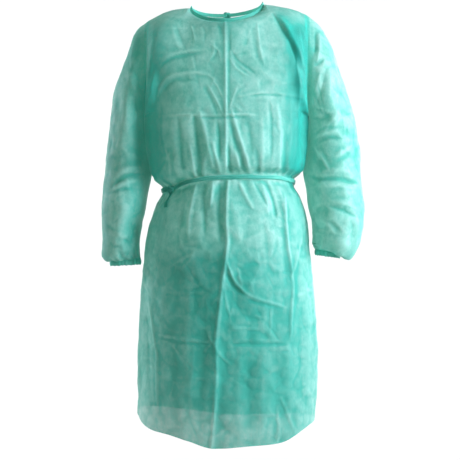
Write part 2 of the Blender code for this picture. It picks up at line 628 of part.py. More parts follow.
def belt_angles():
    """Angles of the belt's points, from one side of its knot round the body to the other.

    They are the columns of the panels it lies on, so that its facets follow theirs.
    """
    waist = np.array([1 + (WAIST - UNDERARM) / (HEM - UNDERARM)])
    under = back_columns(LEFT, waist)[0]
    outer = back_columns(RIGHT, waist)[0]
    under = under[under > outer.max() + BELT_STEP]
    back = np.concatenate([under, outer])
    angles = np.concatenate([front_columns() * 90, np.where(back > 0, 180, -180) - back * 90])
    half_knot = math.degrees((KNOT_HALF[0] + SEAM_GAP) / KNOT_RADIUS)
    turned = np.sort((angles - KNOT_ANGLE) % 360)
    turned = turned[(turned > half_knot * 1.5) & (turned < 360 - half_knot * 1.5)]
    turned = np.concatenate([[half_knot], turned, [360 - half_knot]]) + KNOT_ANGLE
    return np.where(turned > 180, turned - 360, turned)


def belt_line(around):
    """Path of the belt's inner face and the outward directions, at angles from the centre front."""
    front = np.abs(around) <= 90
    across = np.where(front, around / 90, np.sign(around) * (180 - np.abs(around)) / 90)
    row = np.full_like(across, 1 + (WAIST - UNDERARM) / (HEM - UNDERARM))
    here = np.where(front[:, None], plain_surface(FRONT, across, row), plain_surface(BACK, across, row))
    outward = unit(here * np.array((BELT_HALF[0] ** -2, BELT_HALF[1] ** -2, 0)))
    return here + outward * BELT_CLEAR, outward


def belt_with_knot():
    """A narrow belt round the waist, tied at the front of the right side, with one short end hanging."""
    path, outward = belt_line(belt_angles())
    strip("belt", path, outward, np.array((0, 0, 1.0)), BELT_HEIGHT, BELT_THICK, TRIM)
    seat, facing = belt_line(np.array([KNOT_ANGLE]))
    centre = seat[0] + facing[0] * (KNOT_HALF[1] * KNOT_SWELL + SEAM_GAP)
    knot("belt_knot", centre, KNOT_HALF, facing[0], TRIM)
    steps = np.linspace(0, 1, 6)
    height = centre[2] - KNOT_HALF[2] - SEAM_GAP - steps * TAIL_LENGTH
    across = np.full_like(steps, KNOT_ANGLE / 90)
    skirt = body_points(FRONT, across, 1 + (height - UNDERARM) / (HEM - UNDERARM))[0]
    skirt += facing[0] * TIE_CLEAR
    under_knot = centre - facing[0] * TAIL_THICK / 2 + 0 * skirt
    path = under_knot + (skirt - under_knot) * soft_step(steps * 1.4)[:, None]
    path[:, 2] = height
    strip("belt_tail", path, facing[0] + 0 * path, np.cross(facing[0], (0, 0, 1.0)), TAIL_WIDTH,
          TAIL_THICK, TRIM)


def build_gown():
    """Every piece of the gown, under one empty at the origin."""
    for old in list(bpy.data.objects):
        bpy.data.objects.remove(old, do_unlink=True)
    root = bpy.data.objects.new("gown", None)
    bpy.context.scene.collection.objects.link(root)
    front_panel()
    back_panel(LEFT, "back_panel_left")
    back_panel(RIGHT, "back_panel_right")
    for hand, word in ((LEFT, "left"), (RIGHT, "right")):
        sleeve(hand, "sleeve_" + word)
        cuff(hand, "cuff_" + word)
    nape, outward = neck_binding()
    neck_ties(nape, outward)
    belt_with_knot()


build_gown()
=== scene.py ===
"""The looks of a disposable isolation gown of green non-woven cloth, hollow, in its worn form.

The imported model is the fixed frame. Every panel is worked out again from the same section tables, as a
fine grid of points, creased along the paths of the tables near the end, and dressed in a translucent
non-woven finish. Metres, +Z up; the front faces -Y and the wearer's left side is at +X.
"""
import logging
import math
from dataclasses import astuple, dataclass, field
from enum import Enum
from typing import Any, Iterable, Sequence

import bpy
import numpy as np
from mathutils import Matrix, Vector


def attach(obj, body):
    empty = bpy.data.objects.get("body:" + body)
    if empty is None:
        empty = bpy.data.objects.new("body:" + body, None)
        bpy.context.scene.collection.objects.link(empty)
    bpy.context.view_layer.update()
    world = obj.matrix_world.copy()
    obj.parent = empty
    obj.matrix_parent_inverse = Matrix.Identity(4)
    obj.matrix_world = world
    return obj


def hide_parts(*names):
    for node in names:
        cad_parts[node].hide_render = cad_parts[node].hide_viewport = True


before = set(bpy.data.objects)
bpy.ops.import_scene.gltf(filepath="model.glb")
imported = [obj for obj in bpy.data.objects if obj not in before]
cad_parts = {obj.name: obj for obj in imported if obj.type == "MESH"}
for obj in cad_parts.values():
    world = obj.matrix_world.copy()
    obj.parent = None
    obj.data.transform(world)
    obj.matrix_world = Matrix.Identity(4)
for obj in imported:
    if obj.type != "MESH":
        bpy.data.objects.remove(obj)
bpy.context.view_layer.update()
LOG = logging.getLogger("gown")
Array = np.ndarray
Span = tuple[float, float]
Triple = tuple[float, float, float]
TINY = 1e-12
UP = np.array((0, 0, 1.0))
LEVEL = np.array((1, 1, 0))


class Side(Enum):
    """The side of the gown, as the sign of Y."""

    FRONT = -1
    BACK = 1


class Hand(Enum):
    """The wearer's own left and right, as the sign of X."""

    LEFT = 1
    RIGHT = -1


class Slot(Enum):
    """The material slots that the record names."""

    CLOTH = "cloth"
    FOLDED = "folded_cloth"


# --- curves and vectors
def through(keys: Sequence[float], values: Sequence[float], at: Array) -> Array:
    """A smooth curve through the given points that stays between them.

    Each stretch is a cubic whose slope at a point is the harmonic mean of the slopes beside it, or
    nought where they turn.

    Args:
        keys: Places of the points, rising.
        values: Heights of the points.
        at: Places where the curve is read.

    Returns:
        The curve's heights at those places.
    """
    keys, values, at = (np.asarray(each, dtype=float) for each in (keys, values, at))
    span = np.diff(keys)
    slope = np.diff(values) / span
    product = slope[:-1] * slope[1:]
    total = np.where(product > 0, slope[:-1] + slope[1:], 1.0)
    inner = np.where(product > 0, 2 * product / total, 0.0)
    tangent = np.concatenate([slope[:1], inner, slope[-1:]])
    piece = np.clip(np.searchsorted(keys, at, side="right") - 1, 0, len(span) - 1)
    f = np.clip((at - keys[piece]) / span[piece], 0.0, 1.0)
    start = (1 + 2 * f) * (1 - f) ** 2 * values[piece]
    end = f * f * (3 - 2 * f) * values[piece + 1]
    leave = f * (1 - f) ** 2 * span[piece] * tangent[piece]
    arrive = f * f * (f - 1) * span[piece] * tangent[piece + 1]
    return start + end + leave + arrive


def soft_step(value: Array) -> Array:
    """0 below 0, 1 above 1, and an even turn between."""
    value = np.clip(value, 0.0, 1.0)
    return value * value * (3 - 2 * value)


def between(value: Array, low: float, high: float) -> Array:
    """A soft step from `low`, 0, to `high`, 1."""
    return soft_step((value - low) / (high - low))


def unit(vectors: Array) -> Array:
    """The same directions with length 1."""
    return vectors / np.maximum(np.linalg.norm(vectors, axis=-1, keepdims=True), TINY)


def lengths(points: Array, axis: int) -> Array:
    """Length run along one axis of a grid of points, from its first row or column.

    Args:
        points: The grid's points.
        axis: 0 down the columns, or 1 along the rows.

    Returns:
        The length at each point.
    """
    steps = np.linalg.norm(np.diff(points, axis=axis), axis=-1)
    start = np.zeros_like(np.take(steps, [0], axis=axis))
    return np.cumsum(np.concatenate([start, steps], axis=axis), axis=axis)


def circle(count: int) -> Array:
    """So many angles evenly round a circle."""
    return np.linspace(0, 2 * math.pi, count, endpoint=False)


def squared(wave: Array, power: float) -> Array:
    """A wave raised to a power with its sign kept, squarer for a lower power."""
    return np.sign(wave) * np.abs(wave) ** power


def from_table(kind: type, table: str) -> tuple[Any, ...]:
    """An object for each row of a table, by the names over its columns.

    Args:
        kind: The class, which has a field of each column's name.
        table: The names, then the rows of numbers.

    Returns:
        The objects.
    """
    names, *lines = (line.split() for line in table.strip().splitlines())
    return tuple(kind(**dict(zip(names, map(float, line)))) for line in lines)


# --- folds and creases
MM = 0.001


@dataclass(frozen=True)
class Crease:
    """One crease, a ridge or a trough along a path seen straight from the front or back.

    Its height across the path is a bell, exp(-t squared), or for a crisp one exp(-pinch |t|) with its
    top rounded, where t is the distance from the path over the width. A lean widens one side.

    Attributes:
        path: Points (x, z) in millimetres, by which it runs.
        height: Millimetres, above 0 for a ridge and below 0 for a trough.
        width: Millimetres from its line, at which it has fallen to about a third.
        crisp: 0 for a soft fold to 1 for a pressed crease.
        fade: Share of its length over which each end dies away.
        lean: From -1 to 1, how much wider it is to the right of its run than to the left.
        spare: Share of its first and last stretch by which it goes on while it dies away.
        steps: Straight steps along each stretch of a curved path.
        reach: Widths from its line beyond which it moves nothing.
        slim: Share of its width that is left at its ends.
        pinch: How fast a crisp one falls beside its line.
        rounding: How round a crisp one's top is.
    """

    path: tuple[Span, ...]
    height: float
    width: float
    crisp: float
    fade: float
    lean: float = 0.0
    spare: float = 0.25
    steps: int = 6
    reach: float = 3.2
    slim: float = 0.4
    pinch: float = 1.6
    rounding: float = 0.012

    def line(self) -> Array:
        """The path in metres as a smooth curve of short straight steps.

        Returns:
            Places (x, z) along the curve.
        """
        path = np.array(self.path) * MM
        path[0] += (path[0] - path[1]) * self.spare
        path[-1] += (path[-1] - path[-2]) * self.spare
        run = np.concatenate([[0], np.cumsum(np.linalg.norm(np.diff(path, axis=0), axis=1))])
        at = np.linspace(0, run[-1], self.steps * (len(path) - 1) + 1)
        return np.stack([through(run, path[:, 0], at), through(run, path[:, 1], at)], -1)

    def lift(self, x: Array, z: Array) -> Array:
        """How far the crease moves the cloth outward.

        Args:
            x: Places of the cloth's points across.
            z: Places of the cloth's points up.

        Returns:
            The outward move in metres at each point.
        """
        line = self.line()
        breadth = self.width * MM
        reach = self.reach * breadth
        near = (x > line[:, 0].min() - reach) & (x < line[:, 0].max() + reach)
        near &= (z > line[:, 1].min() - reach) & (z < line[:, 1].max() + reach)
        made = np.zeros_like(x)
        if not near.any():
            return made
        point = np.stack([x[near], z[near]], -1)
        best = np.full(len(point), np.inf)
        signed, share = np.zeros(len(point)), np.zeros(len(point))
        ways = np.diff(line, axis=0)
        steps = np.linalg.norm(ways, axis=1)
        run = np.concatenate([[0], np.cumsum(steps)])
        for start, way, length, begun in zip(line[:-1], ways, steps, run):
            along = np.clip((point - start) @ way / length ** 2, 0.0, 1.0)
            off = point - start - along[:, None] * way
            distance = np.linalg.norm(off, axis=1)
            closer = distance < best
            best = np.where(closer, distance, best)
            side = np.sign(way[0] * off[:, 1] - way[1] * off[:, 0])
            signed = np.where(closer, side * distance, signed)
            share = np.where(closer, (begun + along * length) / run[-1], share)
        ends = soft_step(share / self.fade) * soft_step((1 - share) / self.fade)
        narrowed = breadth * (self.slim + (1 - self.slim) * ends)
        t = best / (narrowed * (1 - self.lean * np.tanh(signed / breadth)))
        bell = np.exp(-t * t)
        sharp = np.exp(-self.pinch * (np.sqrt(t * t + self.rounding) - math.sqrt(self.rounding)))
        made[near] = self.height * MM * ends * (bell * (1 - self.crisp) + sharp * self.crisp)
        return made


def laid(table: str) -> tuple[Crease, ...]:
    """A crease for each row of a table that has a bar in it, by the names over its columns.

    Args:
        table: The sizes' names, then rows of sizes, a bar, and x and z by turns of each point. Rows
            without a bar are notes.

    Returns:
        The creases.
    """
    head, *lines = (line.split("|") for line in table.splitlines() if "|" in line)
    made = []
    for sizes, places in lines:
        numbers = [float(word) for word in places.split()]
        named = dict(zip(head[0].split(), map(float, sizes.split())))
        made.append(Crease(tuple(zip(numbers[::2], numbers[1::2])), **named))
    return tuple(made)


def creased(creases: Iterable[Crease], x: Array, z: Array) -> Array:
    """The sum of several creases' moves at the points."""
    return sum((crease.lift(x, z) for crease in creases), np.zeros_like(x))


class Cloth:
    """A grid of points, with quick ways to pick seeds on it and what lies about each."""

    def __init__(self, points: Array) -> None:
        """Keep the points and the box of each of their rows.

        Args:
            points: The grid's points.
        """
        self.points = points.astype(np.float32)
        self.low, self.high = self.points.min(axis=1), self.points.max(axis=1)
        self.area = float(lengths(points, 1)[:, -1].mean() * lengths(points, 0)[-1].mean())

    def seeds(self, draw: np.random.Generator, count: int) -> tuple[Array, Array]:
        """Rows and columns of so many points chosen at random."""
        rows, columns = self.points.shape[:2]
        return draw.integers(0, rows, count), draw.integers(0, columns, count)

    def about(self, place: Array, reach: float) -> tuple[slice, Array, Array]:
        """What lies within a cube about a place.

        Args:
            place: The cube's middle.
            reach: Half its side.

        Returns:
            The rows that come near, which of their points lie in the cube, and the ways to those.
        """
        rows = np.flatnonzero(((self.low < place + reach) & (self.high > place - reach)).all(axis=-1))
        band = slice(int(rows[0]), int(rows[-1]) + 1)
        off = self.points[band] - place
        near = (np.abs(off) < reach).all(axis=-1)
        return band, near, off[near]


@dataclass(frozen=True)
class Crumple:
    """The small straight wrinkles all over cloth that was packed flat, each a short crisp crease.

    A wrinkle's height is exp(-distance / width) from its line, rounded at the line, times a bell along
    it. Its place on the cloth, its way over it, its length and its height come from a seeded
    generator.

    Attributes:
        density: Wrinkles to each square metre.
        length: Shortest and longest half length in metres.
        height: The largest height in metres.
        width: Half width of a wrinkle in metres.
        slim, swell: Share of that width that a very short one has, and what each metre adds.
        reach: Half lengths from its middle beyond which it moves nothing.
        rounding, top: How round its top is, and what brings it back to full height.
    """

    seed: int
    density: float = 900.0
    length: Span = (0.008, 0.045)
    height: float = 0.0013
    width: float = 0.0034
    slim: float = 0.6
    swell: float = 8.0
    reach: float = 2.0
    rounding: float = 0.03
    top: float = 0.17

    def lift(self, cloth: Cloth, outward: Array) -> Array:
        """How far the wrinkles move the cloth.

        Args:
            cloth: The cloth.
            outward: The outward directions of its points.

        Returns:
            The outward move in metres at each point.
        """
        draw = np.random.default_rng(self.seed)
        count = int(self.density * cloth.area)
        chosen = cloth.seeds(draw, count)
        ways = unit(np.cross(outward[chosen], draw.normal(0, 1, (count, 3)))).astype(np.float32)
        halves = draw.uniform(0, 1, count) ** 2 * (self.length[1] - self.length[0]) + self.length[0]
        heights = draw.normal(0, 0.5, count).clip(-1, 1) * self.height
        made = np.zeros(cloth.points.shape[:2])
        for place, way, half, height in zip(cloth.points[chosen], ways, halves, heights):
            band, near, off = cloth.about(place, self.reach * half)
            along = off @ way
            breadth = self.width * (self.slim + self.swell * half)
            aside = np.linalg.norm(off - along[:, None] * way, axis=1) / breadth
            fall = -(along / half) ** 2 - np.sqrt(aside * aside + self.rounding)
            made[band][near] += height * np.exp(fall + self.top)
        return made


@dataclass(frozen=True)
class Facets:
    """The flat facets between the creases of crumpled cloth.

    Scattered seeds each carry a tilted bowl, a slope less k d squared, and the cloth takes the
    highest of those about it. Equal bowls meet along straight lines, so the facets are bounded by
    straight creases. Turned over, the same makes ridges in place of valleys.

    Attributes:
        pitch: Mean distance between two seeds in metres.
        slope: Twice the usual tilt of a facet.
        ridges: Whether the creases between them stand up rather than in.
        crowding: Seeds in each square of that pitch.
        start: How far up or down a facet begins, as a share of pitch times slope.
        bowl: How hollow a facet is, as a share of slope over pitch.
        floor: The lowest that cloth between seeds lies, in pitches times slope.
        reach: Pitches from its seed beyond which a facet doesn't count.
    """

    seed: int
    pitch: float
    slope: float
    ridges: bool
    crowding: float = 1.4
    start: float = 0.25
    bowl: float = 0.8
    floor: float = 2.5
    reach: float = 2.6

    def lift(self, cloth: Cloth) -> Array:
        """How far the facets move the cloth at its points, about 0 on the whole.

        Args:
            cloth: The cloth.

        Returns:
            The outward move in metres at each point.
        """
        draw = np.random.default_rng(self.seed)
        count = int(self.crowding * cloth.area / self.pitch ** 2)
        places = cloth.points[cloth.seeds(draw, count)]
        tilts = (draw.normal(0, 0.5, (count, 3)) * self.slope).astype(np.float32)
        starts = draw.uniform(-self.start, self.start, count) * self.slope * self.pitch
        bowl = self.bowl * self.slope / self.pitch
        best = np.full(cloth.points.shape[:2], -self.floor * self.slope * self.pitch)
        for place, tilt, start in zip(places, tilts, starts):
            band, near, off = cloth.about(place, self.reach * self.pitch)
            height = start + off @ tilt - bowl * np.sum(off * off, axis=1)
            best[band][near] = np.maximum(best[band][near], height)
        return (best - best.mean()) * (-1.0 if self.ridges else 1.0)


@dataclass(frozen=True)
class Gathers:
    """Folds that spread from a line where the cloth is drawn together, such as under a belt.

    Each fold is a bell across its line times exp(-distance / reach) away from the gathered line, and
    its place, slant, width, reach and height are drawn unevenly from a seeded generator.

    Attributes:
        pitch: Mean distance between two folds, in metres.
        height: Mean height in metres.
        reach: Shortest and longest distance over which a fold dies away.
        slant: The most that a fold moves sideways for each metre away from the line.
        place: Where within its own pitch a fold may stand.
        heights: Its lowest and highest share of the mean height.
        width: Its narrowest and widest half width, in pitches.
        widening: How much wider it is at the end of its reach, as a share.
    """

    seed: int
    pitch: float
    height: float
    reach: Span
    slant: float = 0.3
    place: Span = (0.15, 0.85)
    heights: Span = (0.35, 1.6)
    width: Span = (0.22, 0.42)
    widening: float = 0.9

    def lift(self, u: Array, away: Array) -> Array:
        """How far the folds move the cloth.

        Args:
            u: Distance along the gathered line.
            away: Distance from that line, 0 or more; nothing moves where it is below 0.

        Returns:
            The outward move in metres at each point.
        """
        draw = np.random.default_rng(self.seed)
        low, high = float(u.min()), float(u.max())
        count = max(1, int((high - low) / self.pitch))
        places = low + (np.arange(count) + draw.uniform(*self.place, count)) * (high - low) / count
        made = np.zeros_like(u)
        beyond = np.clip(away, 0, None)
        for place in places:
            height = self.height * draw.uniform(*self.heights) * draw.choice((1.0, 1.0, -1.0))
            reach = draw.uniform(*self.reach)
            width = self.pitch * draw.uniform(*self.width)
            slant = draw.uniform(-self.slant, self.slant)
            off = (u - place - slant * away) / (width * (1 + self.widening * beyond / reach))
            made += height * np.exp(-off * off - beyond / reach) * (away >= 0)
        return made


def small_folds(points: Array, outward: Array, crumple: Crumple, facets: Iterable[Facets]) -> Array:
    """How far wrinkles and facets together move a sheet's points outward.

    Args:
        points: The sheet's points.
        outward: Their outward directions.
        crumple: The wrinkles.
        facets: The sets of facets laid over one another.

    Returns:
        The outward move in metres at each point.
    """
    cloth = Cloth(points)
    return crumple.lift(cloth, outward) + sum(each.lift(cloth) for each in facets)


def blurred(values: Array, reach: int) -> Array:
    """The mean of a grid's points out to so many rows and columns, edges repeated.

    Args:
        values: Numbers or points of a grid.
        reach: Rows and columns each way.

    Returns:
        The means.
    """
    for axis in (0, 1):
        padded = np.concatenate([np.repeat(np.take(values, [0], axis), reach + 1, axis), values,
                                 np.repeat(np.take(values, [-1], axis), reach, axis)], axis)
        total = np.cumsum(padded, axis=axis)
        count = values.shape[axis]
        upper = np.take(total, np.arange(count) + 2 * reach + 1, axis)
        values = (upper - np.take(total, np.arange(count), axis)) / (2 * reach + 1)
    return values


def sharpness(lift: Array, reach: int = 3, full: float = 0.0007) -> Array:
    """How far each point stands over the mean of those about it, from -1 in a trough to 1 on a ridge."""
    return np.tanh((lift - blurred(lift, reach)) / full)


# --- the gown's form
@dataclass(frozen=True)
class Section:
    """A level section of the body: half widths, depths and how square its corners are."""

    level: float
    right: float
    left: float
    front: float
    back: float
    corner: float


@dataclass(frozen=True)
class Shoulder:
    """A shoulder seam's height at the neck and at the armhole, and how far it bows up between them."""

    neck: float
    tip: float
    crown: float


@dataclass(frozen=True)
class Form:
    """The gown's form without its folds, as the solids have it.

    Lengths are in metres. A pair named for a side holds the shares across between which a thing sets
    in, and a route holds degrees from the centre front and heights.
    """

    neck_half: float = 0.0925
    neck_front: float = 0.0990
    neck_back: float = 0.0720
    neck_front_drop: float = 0.0540
    neck_back_drop: float = 0.0120
    shoulder_half: float = 0.1975
    shoulder_line: float = 0.0050
    armhole_depth: float = 0.0720
    chest_fall: float = 3.0
    chest_side: Span = (0.30, 1.00)
    armhole_side: Span = (0.45, 0.90)
    underarm: float = -0.270
    waist: float = -0.445
    skirt_top: float = -0.620
    hem: float = -1.050
    neck_share: float = 0.45
    lap_step: float = 0.0030
    sections: tuple[Section, ...] = from_table(Section, """
         level  right   left  front   back corner
          -.06   .197   .197   .126    .11    3.1
          -.16   .197   .197   .131   .117      3
          -.27   .197   .197   .137   .122    2.8
         -.335  .1945  .1955   .143   .127    2.6
         -.388  .1885  .1905   .147    .13    2.5
         -.418   .182   .185   .138   .122    2.4
         -.438    .16  .1665    .12   .106    2.3
         -.452    .16  .1665    .12   .106    2.3
          -.48   .174   .182   .134   .122    2.3
          -.53    .19   .199   .144   .137    2.3
          -.62   .204   .207   .152    .15    2.2
          -.74   .214   .219   .159   .154    2.2
           -.9   .221   .224   .168   .156    2.2
         -1.05  .2205  .2195   .174   .158    2.2
    """)
    belt_route: tuple[Span, ...] = (
        (-90.0, -0.4575), (-56.0, -0.4570), (-32.0, -0.4385), (4.0, -0.4270),
        (50.0, -0.4305), (90.0, -0.4360), (180.0, -0.4480),
    )
    hem_route: tuple[Span, ...] = (
        (-90.0, -1.000), (-56.0, -1.034), (-39.0, -1.041), (-25.0, -1.052), (-8.0, -1.069),
        (12.0, -1.064), (34.0, -1.060), (53.0, -1.036), (72.0, -1.025), (90.0, -1.022), (180.0, -1.042),
    )
    shoulders: dict[Hand, Shoulder] = field(default_factory=lambda: {
        Hand.RIGHT: Shoulder(-0.002, -0.034, 0.009), Hand.LEFT: Shoulder(0.008, -0.018, 0.005)})
    slope_step: float = 0.004

    def column(self, name: str, level: Array) -> Array:
        """One column of the section table at a level."""
        keys = [-row.level for row in self.sections]
        return through(keys, [getattr(row, name) for row in self.sections], -level)

    @staticmethod
    def route(places: Sequence[Span], around: Array) -> Array:
        """Height of a route that closes on itself, at angles of -180 to 180 degrees from the front.

        Args:
            places: Angles in rising order, each with its height.
            around: The angles asked for.

        Returns:
            The heights.
        """
        angles, heights = zip(*places)
        return through([angles[-1] - 360.0, *angles, angles[0] + 360.0],
                       [heights[-1], *heights, heights[0]], around)

    @staticmethod
    def degrees(side: Side, across: Array) -> Array:
        """Angle from the centre front at a share across one side."""
        beyond = np.sign(across + TINY) * 180.0 - across * 90.0
        return across * 90.0 if side is Side.FRONT else beyond

    def ring(self, side: Side, across: Array, level: Array) -> Array:
        """A point below the armholes, on a rounded section: x and y share |sin| and |cos| to a power.

        Args:
            side: Front or back.
            across: From -1 at the right side seam to 1 at the left one.
            level: Height before the belt's and the hem's slope move it.

        Returns:
            The points.
        """
        turn = across * math.pi / 2
        corner = self.column("corner", level)
        half = np.where(across < 0, self.column("right", level), self.column("left", level))
        depth = self.column("front" if side is Side.FRONT else "back", level)
        swell = (np.abs(np.sin(turn)) ** corner + np.abs(np.cos(turn)) ** corner) ** (-1 / corner)
        around = self.degrees(side, across)
        near_belt = between(level, self.skirt_top, self.waist)
        near_belt = near_belt * between(-level, -self.underarm, -self.waist)
        near_hem = between(-level, -self.skirt_top, -self.hem)
        height = level + near_belt * (self.route(self.belt_route, around) - self.waist)
        height = height + near_hem * (self.route(self.hem_route, around) - self.hem)
        depth_at = side.value * depth * np.cos(turn) * swell
        return np.stack([half * np.sin(turn) * swell, depth_at, height], -1)

    def top_line(self, side: Side, across: Array) -> Array:
        """The neckline, a quarter turn of an ellipse each way, and the two shoulder seams.

        Args:
            side: Front or back.
            across: From -1 at the right shoulder's end to 1 at the left one's.

        Returns:
            The points.
        """
        left = across >= 0
        hand = np.where(left, 1, -1)
        turn = np.minimum(np.abs(across) / self.neck_share, 1.0) * math.pi / 2
        along = np.clip((np.abs(across) - self.neck_share) / (1 - self.neck_share), 0.0, 1.0)
        at_left, at_right = self.shoulders[Hand.LEFT], self.shoulders[Hand.RIGHT]
        tip = np.where(left, at_left.tip, at_right.tip)
        crown = np.where(left, at_left.crown, at_right.crown)
        seam = at_right.neck + (at_left.neck - at_right.neck) * (1 + hand * np.sin(turn)) / 2
        front = side is Side.FRONT
        reach = self.neck_front if front else self.neck_back
        drop = self.neck_front_drop if front else self.neck_back_drop
        x = hand * (self.neck_half * np.sin(turn) + (self.shoulder_half - self.neck_half) * along)
        y = self.shoulder_line * (1 - along) + side.value * reach * np.cos(turn)
        z = seam + (tip - seam) * along + crown * np.sin(math.pi * along) - drop * np.cos(turn)
        return np.stack([x, y, z], -1)

    def yoke(self, side: Side, across: Array, row: Array) -> Array:
        """A point above the underarm, row 0 on the top edge and row 1 at the underarm.

        The height follows the armhole, an ellipse seen from the side; the depth turns quickly from
        the shoulder to the chest and is drawn on to the armhole near the side. Nearer the middle it
        swells by s (1 - s) squared, brought to 1 at its highest, where s is the share of the fall.

        Args:
            side: Front or back.
            across: Shares across.
            row: From 0 to 1.

        Returns:
            The points.
        """
        turn = math.pi * row
        fall = (1 - np.cos(turn)) / 2
        forward = np.sqrt(1 - (1 - fall) ** self.chest_fall)
        top = self.top_line(side, across)
        chest = self.ring(side, across, self.underarm * fall)
        chest[..., 2] = self.underarm
        point = top + (chest - top) * np.stack([1 - (1 - fall) ** 2, forward, fall], -1)
        beside = np.abs(across)
        at_edge = between(beside, *self.armhole_side)
        swell = 27 / 4 * fall * (1 - fall) ** 2
        bulge = swell * (1 - at_edge) + np.sin(turn) * at_edge
        point[..., 1] += side.value * self.armhole_depth * bulge * between(beside, *self.chest_side)
        return point

    def surface(self, side: Side, across: Array, row: Array) -> Array:
        """The body: row 0 to 1 is the yoke and 1 to 2 falls from the underarm to the hem.

        Past a shoulder seam or a side seam it goes on round the other side.

        Args:
            side: Front or back.
            across: Shares across, past 1 or -1 on the other side.
            row: Up to 2, and below 0 past the top edge.

        Returns:
            The points.
        """
        across, row = np.asarray(across, dtype=float), np.asarray(row, dtype=float)
        other = Side.BACK if side is Side.FRONT else Side.FRONT
        beyond = np.abs(across) > 1
        wrapped = np.sign(across) * (2 - np.abs(across))
        inside = np.where(beyond & (row > 1), wrapped, np.clip(across, -1, 1))
        level = self.underarm + (np.clip(row, 1, 2) - 1) * (self.hem - self.underarm)
        low = [self.ring(each, inside, level) for each in (other, side)]
        high = [self.yoke(other, inside, np.clip(-row, 0, 1)), self.yoke(side, inside, np.clip(row, 0, 1))]
        low, high = np.where(beyond[..., None], *low), np.where((row < 0)[..., None], *high)
        return np.where((row > 1)[..., None], low, high)

    def outward(self, side: Side, across: Array, row: Array) -> Array:
        """Outward directions of the surface, from its slopes across and down.

        Args:
            side: Front or back.
            across: Shares across.
            row: Rows.

        Returns:
            The directions.
        """
        step = self.slope_step
        sideways = self.surface(side, across + step, row) - self.surface(side, across - step, row)
        down = self.surface(side, across, row + step) - self.surface(side, across, row - step)
        return unit(side.value * np.cross(sideways, down))

    def belt_height(self, side: Side, across: Array) -> Array:
        """Height of the belt's middle at a share across one side."""
        return self.route(self.belt_route, self.degrees(side, across))


FORM = Form()


# --- the sleeves' form
@dataclass(frozen=True)
class SleeveSection:
    """A section of a sleeve: its outer and inner points, its place forward, and its depth each way."""

    outer_x: float
    outer_z: float
    inner_x: float
    inner_z: float
    forward: float
    depth: float


SLEEVES: dict[Hand, tuple[SleeveSection, ...]] = {
    Hand.LEFT: from_table(SleeveSection, """
        outer_x outer_z inner_x inner_z forward   depth
          .1975   -.018    .197    -.27       0    .072
           .233   -.047   .1986   -.273       0    .077
           .262   -.099   .1992   -.278    .001     .08
            .28    -.15   .1992   -.287    .003    .081
           .298   -.205   .1988   -.302    .004     .08
          .3155   -.262   .1976   -.327    .004    .078
          .3295    -.33   .1954   -.364    .003    .076
           .335     -.4     .19   -.408       0    .075
           .337   -.455   .1978   -.456   -.005    .074
          .3405     -.5    .202   -.498    -.01    .073
          .3395    -.54    .209   -.538   -.015     .07
           .332   -.578   .2125   -.572   -.019    .064
            .32   -.609    .213    -.59   -.022    .054
           .301   -.629    .214   -.588   -.024    .042
            .28   -.611    .218   -.603   -.025    .031
    """),
    Hand.RIGHT: from_table(SleeveSection, """
        outer_x outer_z inner_x inner_z forward   depth
          .1975   -.034    .197    -.27       0    .072
           .225   -.059   .1986   -.273       0    .077
          .2425     -.1   .1992   -.278    .001     .08
          .2575   -.143   .1992   -.287    .003    .081
          .2735   -.195   .1988   -.302    .004     .08
          .2865   -.255   .1976   -.327    .004    .078
          .2975    -.33    .195   -.364    .003    .076
           .304   -.405    .188   -.412       0    .075
           .309   -.455   .1955   -.456   -.005    .074
          .3115     -.5    .203     -.5    -.01    .073
          .3085   -.548    .215   -.544   -.015     .07
          .3095    -.59   .2165   -.585   -.019    .063
           .311   -.618   .2155    -.61   -.022    .053
           .299   -.633   .2145   -.621   -.024    .043
          .2895    -.63    .213  -.6265   -.025    .033
    """),
}


def sleeve_surface(hand: Hand, around: Array, along: Array) -> Array:
    """Points round a sleeve: an ellipse about the middle of each section.

    Args:
        hand: Which sleeve.
        around: Angle from the outer edge by way of the front.
        along: Row of the section table, with anything between.

    Returns:
        The points.
    """
    table = np.array([astuple(section) for section in SLEEVES[hand]])
    outer_x, outer_z, inner_x, inner_z, forward, depth = (
        through(range(len(table)), column, along) for column in table.T)
    x = hand.value * ((outer_x + inner_x) / 2 + (outer_x - inner_x) / 2 * np.cos(around))
    z = (outer_z + inner_z) / 2 + (outer_z - inner_z) / 2 * np.cos(around)
    return np.stack([x, forward - depth * np.sin(around), z], -1)


def sleeve_outward(hand: Hand, around: Array, along: Array, step: float = 0.01) -> Array:
    """Outward directions of a sleeve, from its slopes round and down over a step each way.

    Args:
        hand: Which sleeve.
        around: Angles from the outer edge.
        along: Rows of its table.
        step: Half the stretch that a slope is taken over.

    Returns:
        The directions.
    """
    turn = sleeve_surface(hand, around + step, along) - sleeve_surface(hand, around - step, along)
    down = sleeve_surface(hand, around, along + step) - sleeve_surface(hand, around, along - step)
    return unit(hand.value * np.cross(turn, down))


# --- meshes
def grid_faces(count: int, columns: int, wraps: bool = False) -> Array:
    """Faces of so many rows and columns of points; one that wraps joins its last column to its first.

    Args:
        count: Rows of points.
        columns: Points in a row.
        wraps: Whether the rows close.

    Returns:
        Rows of four point numbers.
    """
    index = np.arange(count * columns).reshape(count, columns)
    if wraps:
        index = np.concatenate([index, index[:, :1]], axis=1)
    return np.stack([index[:-1, :-1], index[1:, :-1], index[1:, 1:], index[:-1, 1:]], -1).reshape(-1, 4)


def unrolled(points: Array) -> Array:
    """Places on the flat cloth of a grid's points: length run along its row, and down its column."""
    return np.stack([lengths(points, 1), -lengths(points, 0)], -1).reshape(-1, 2)


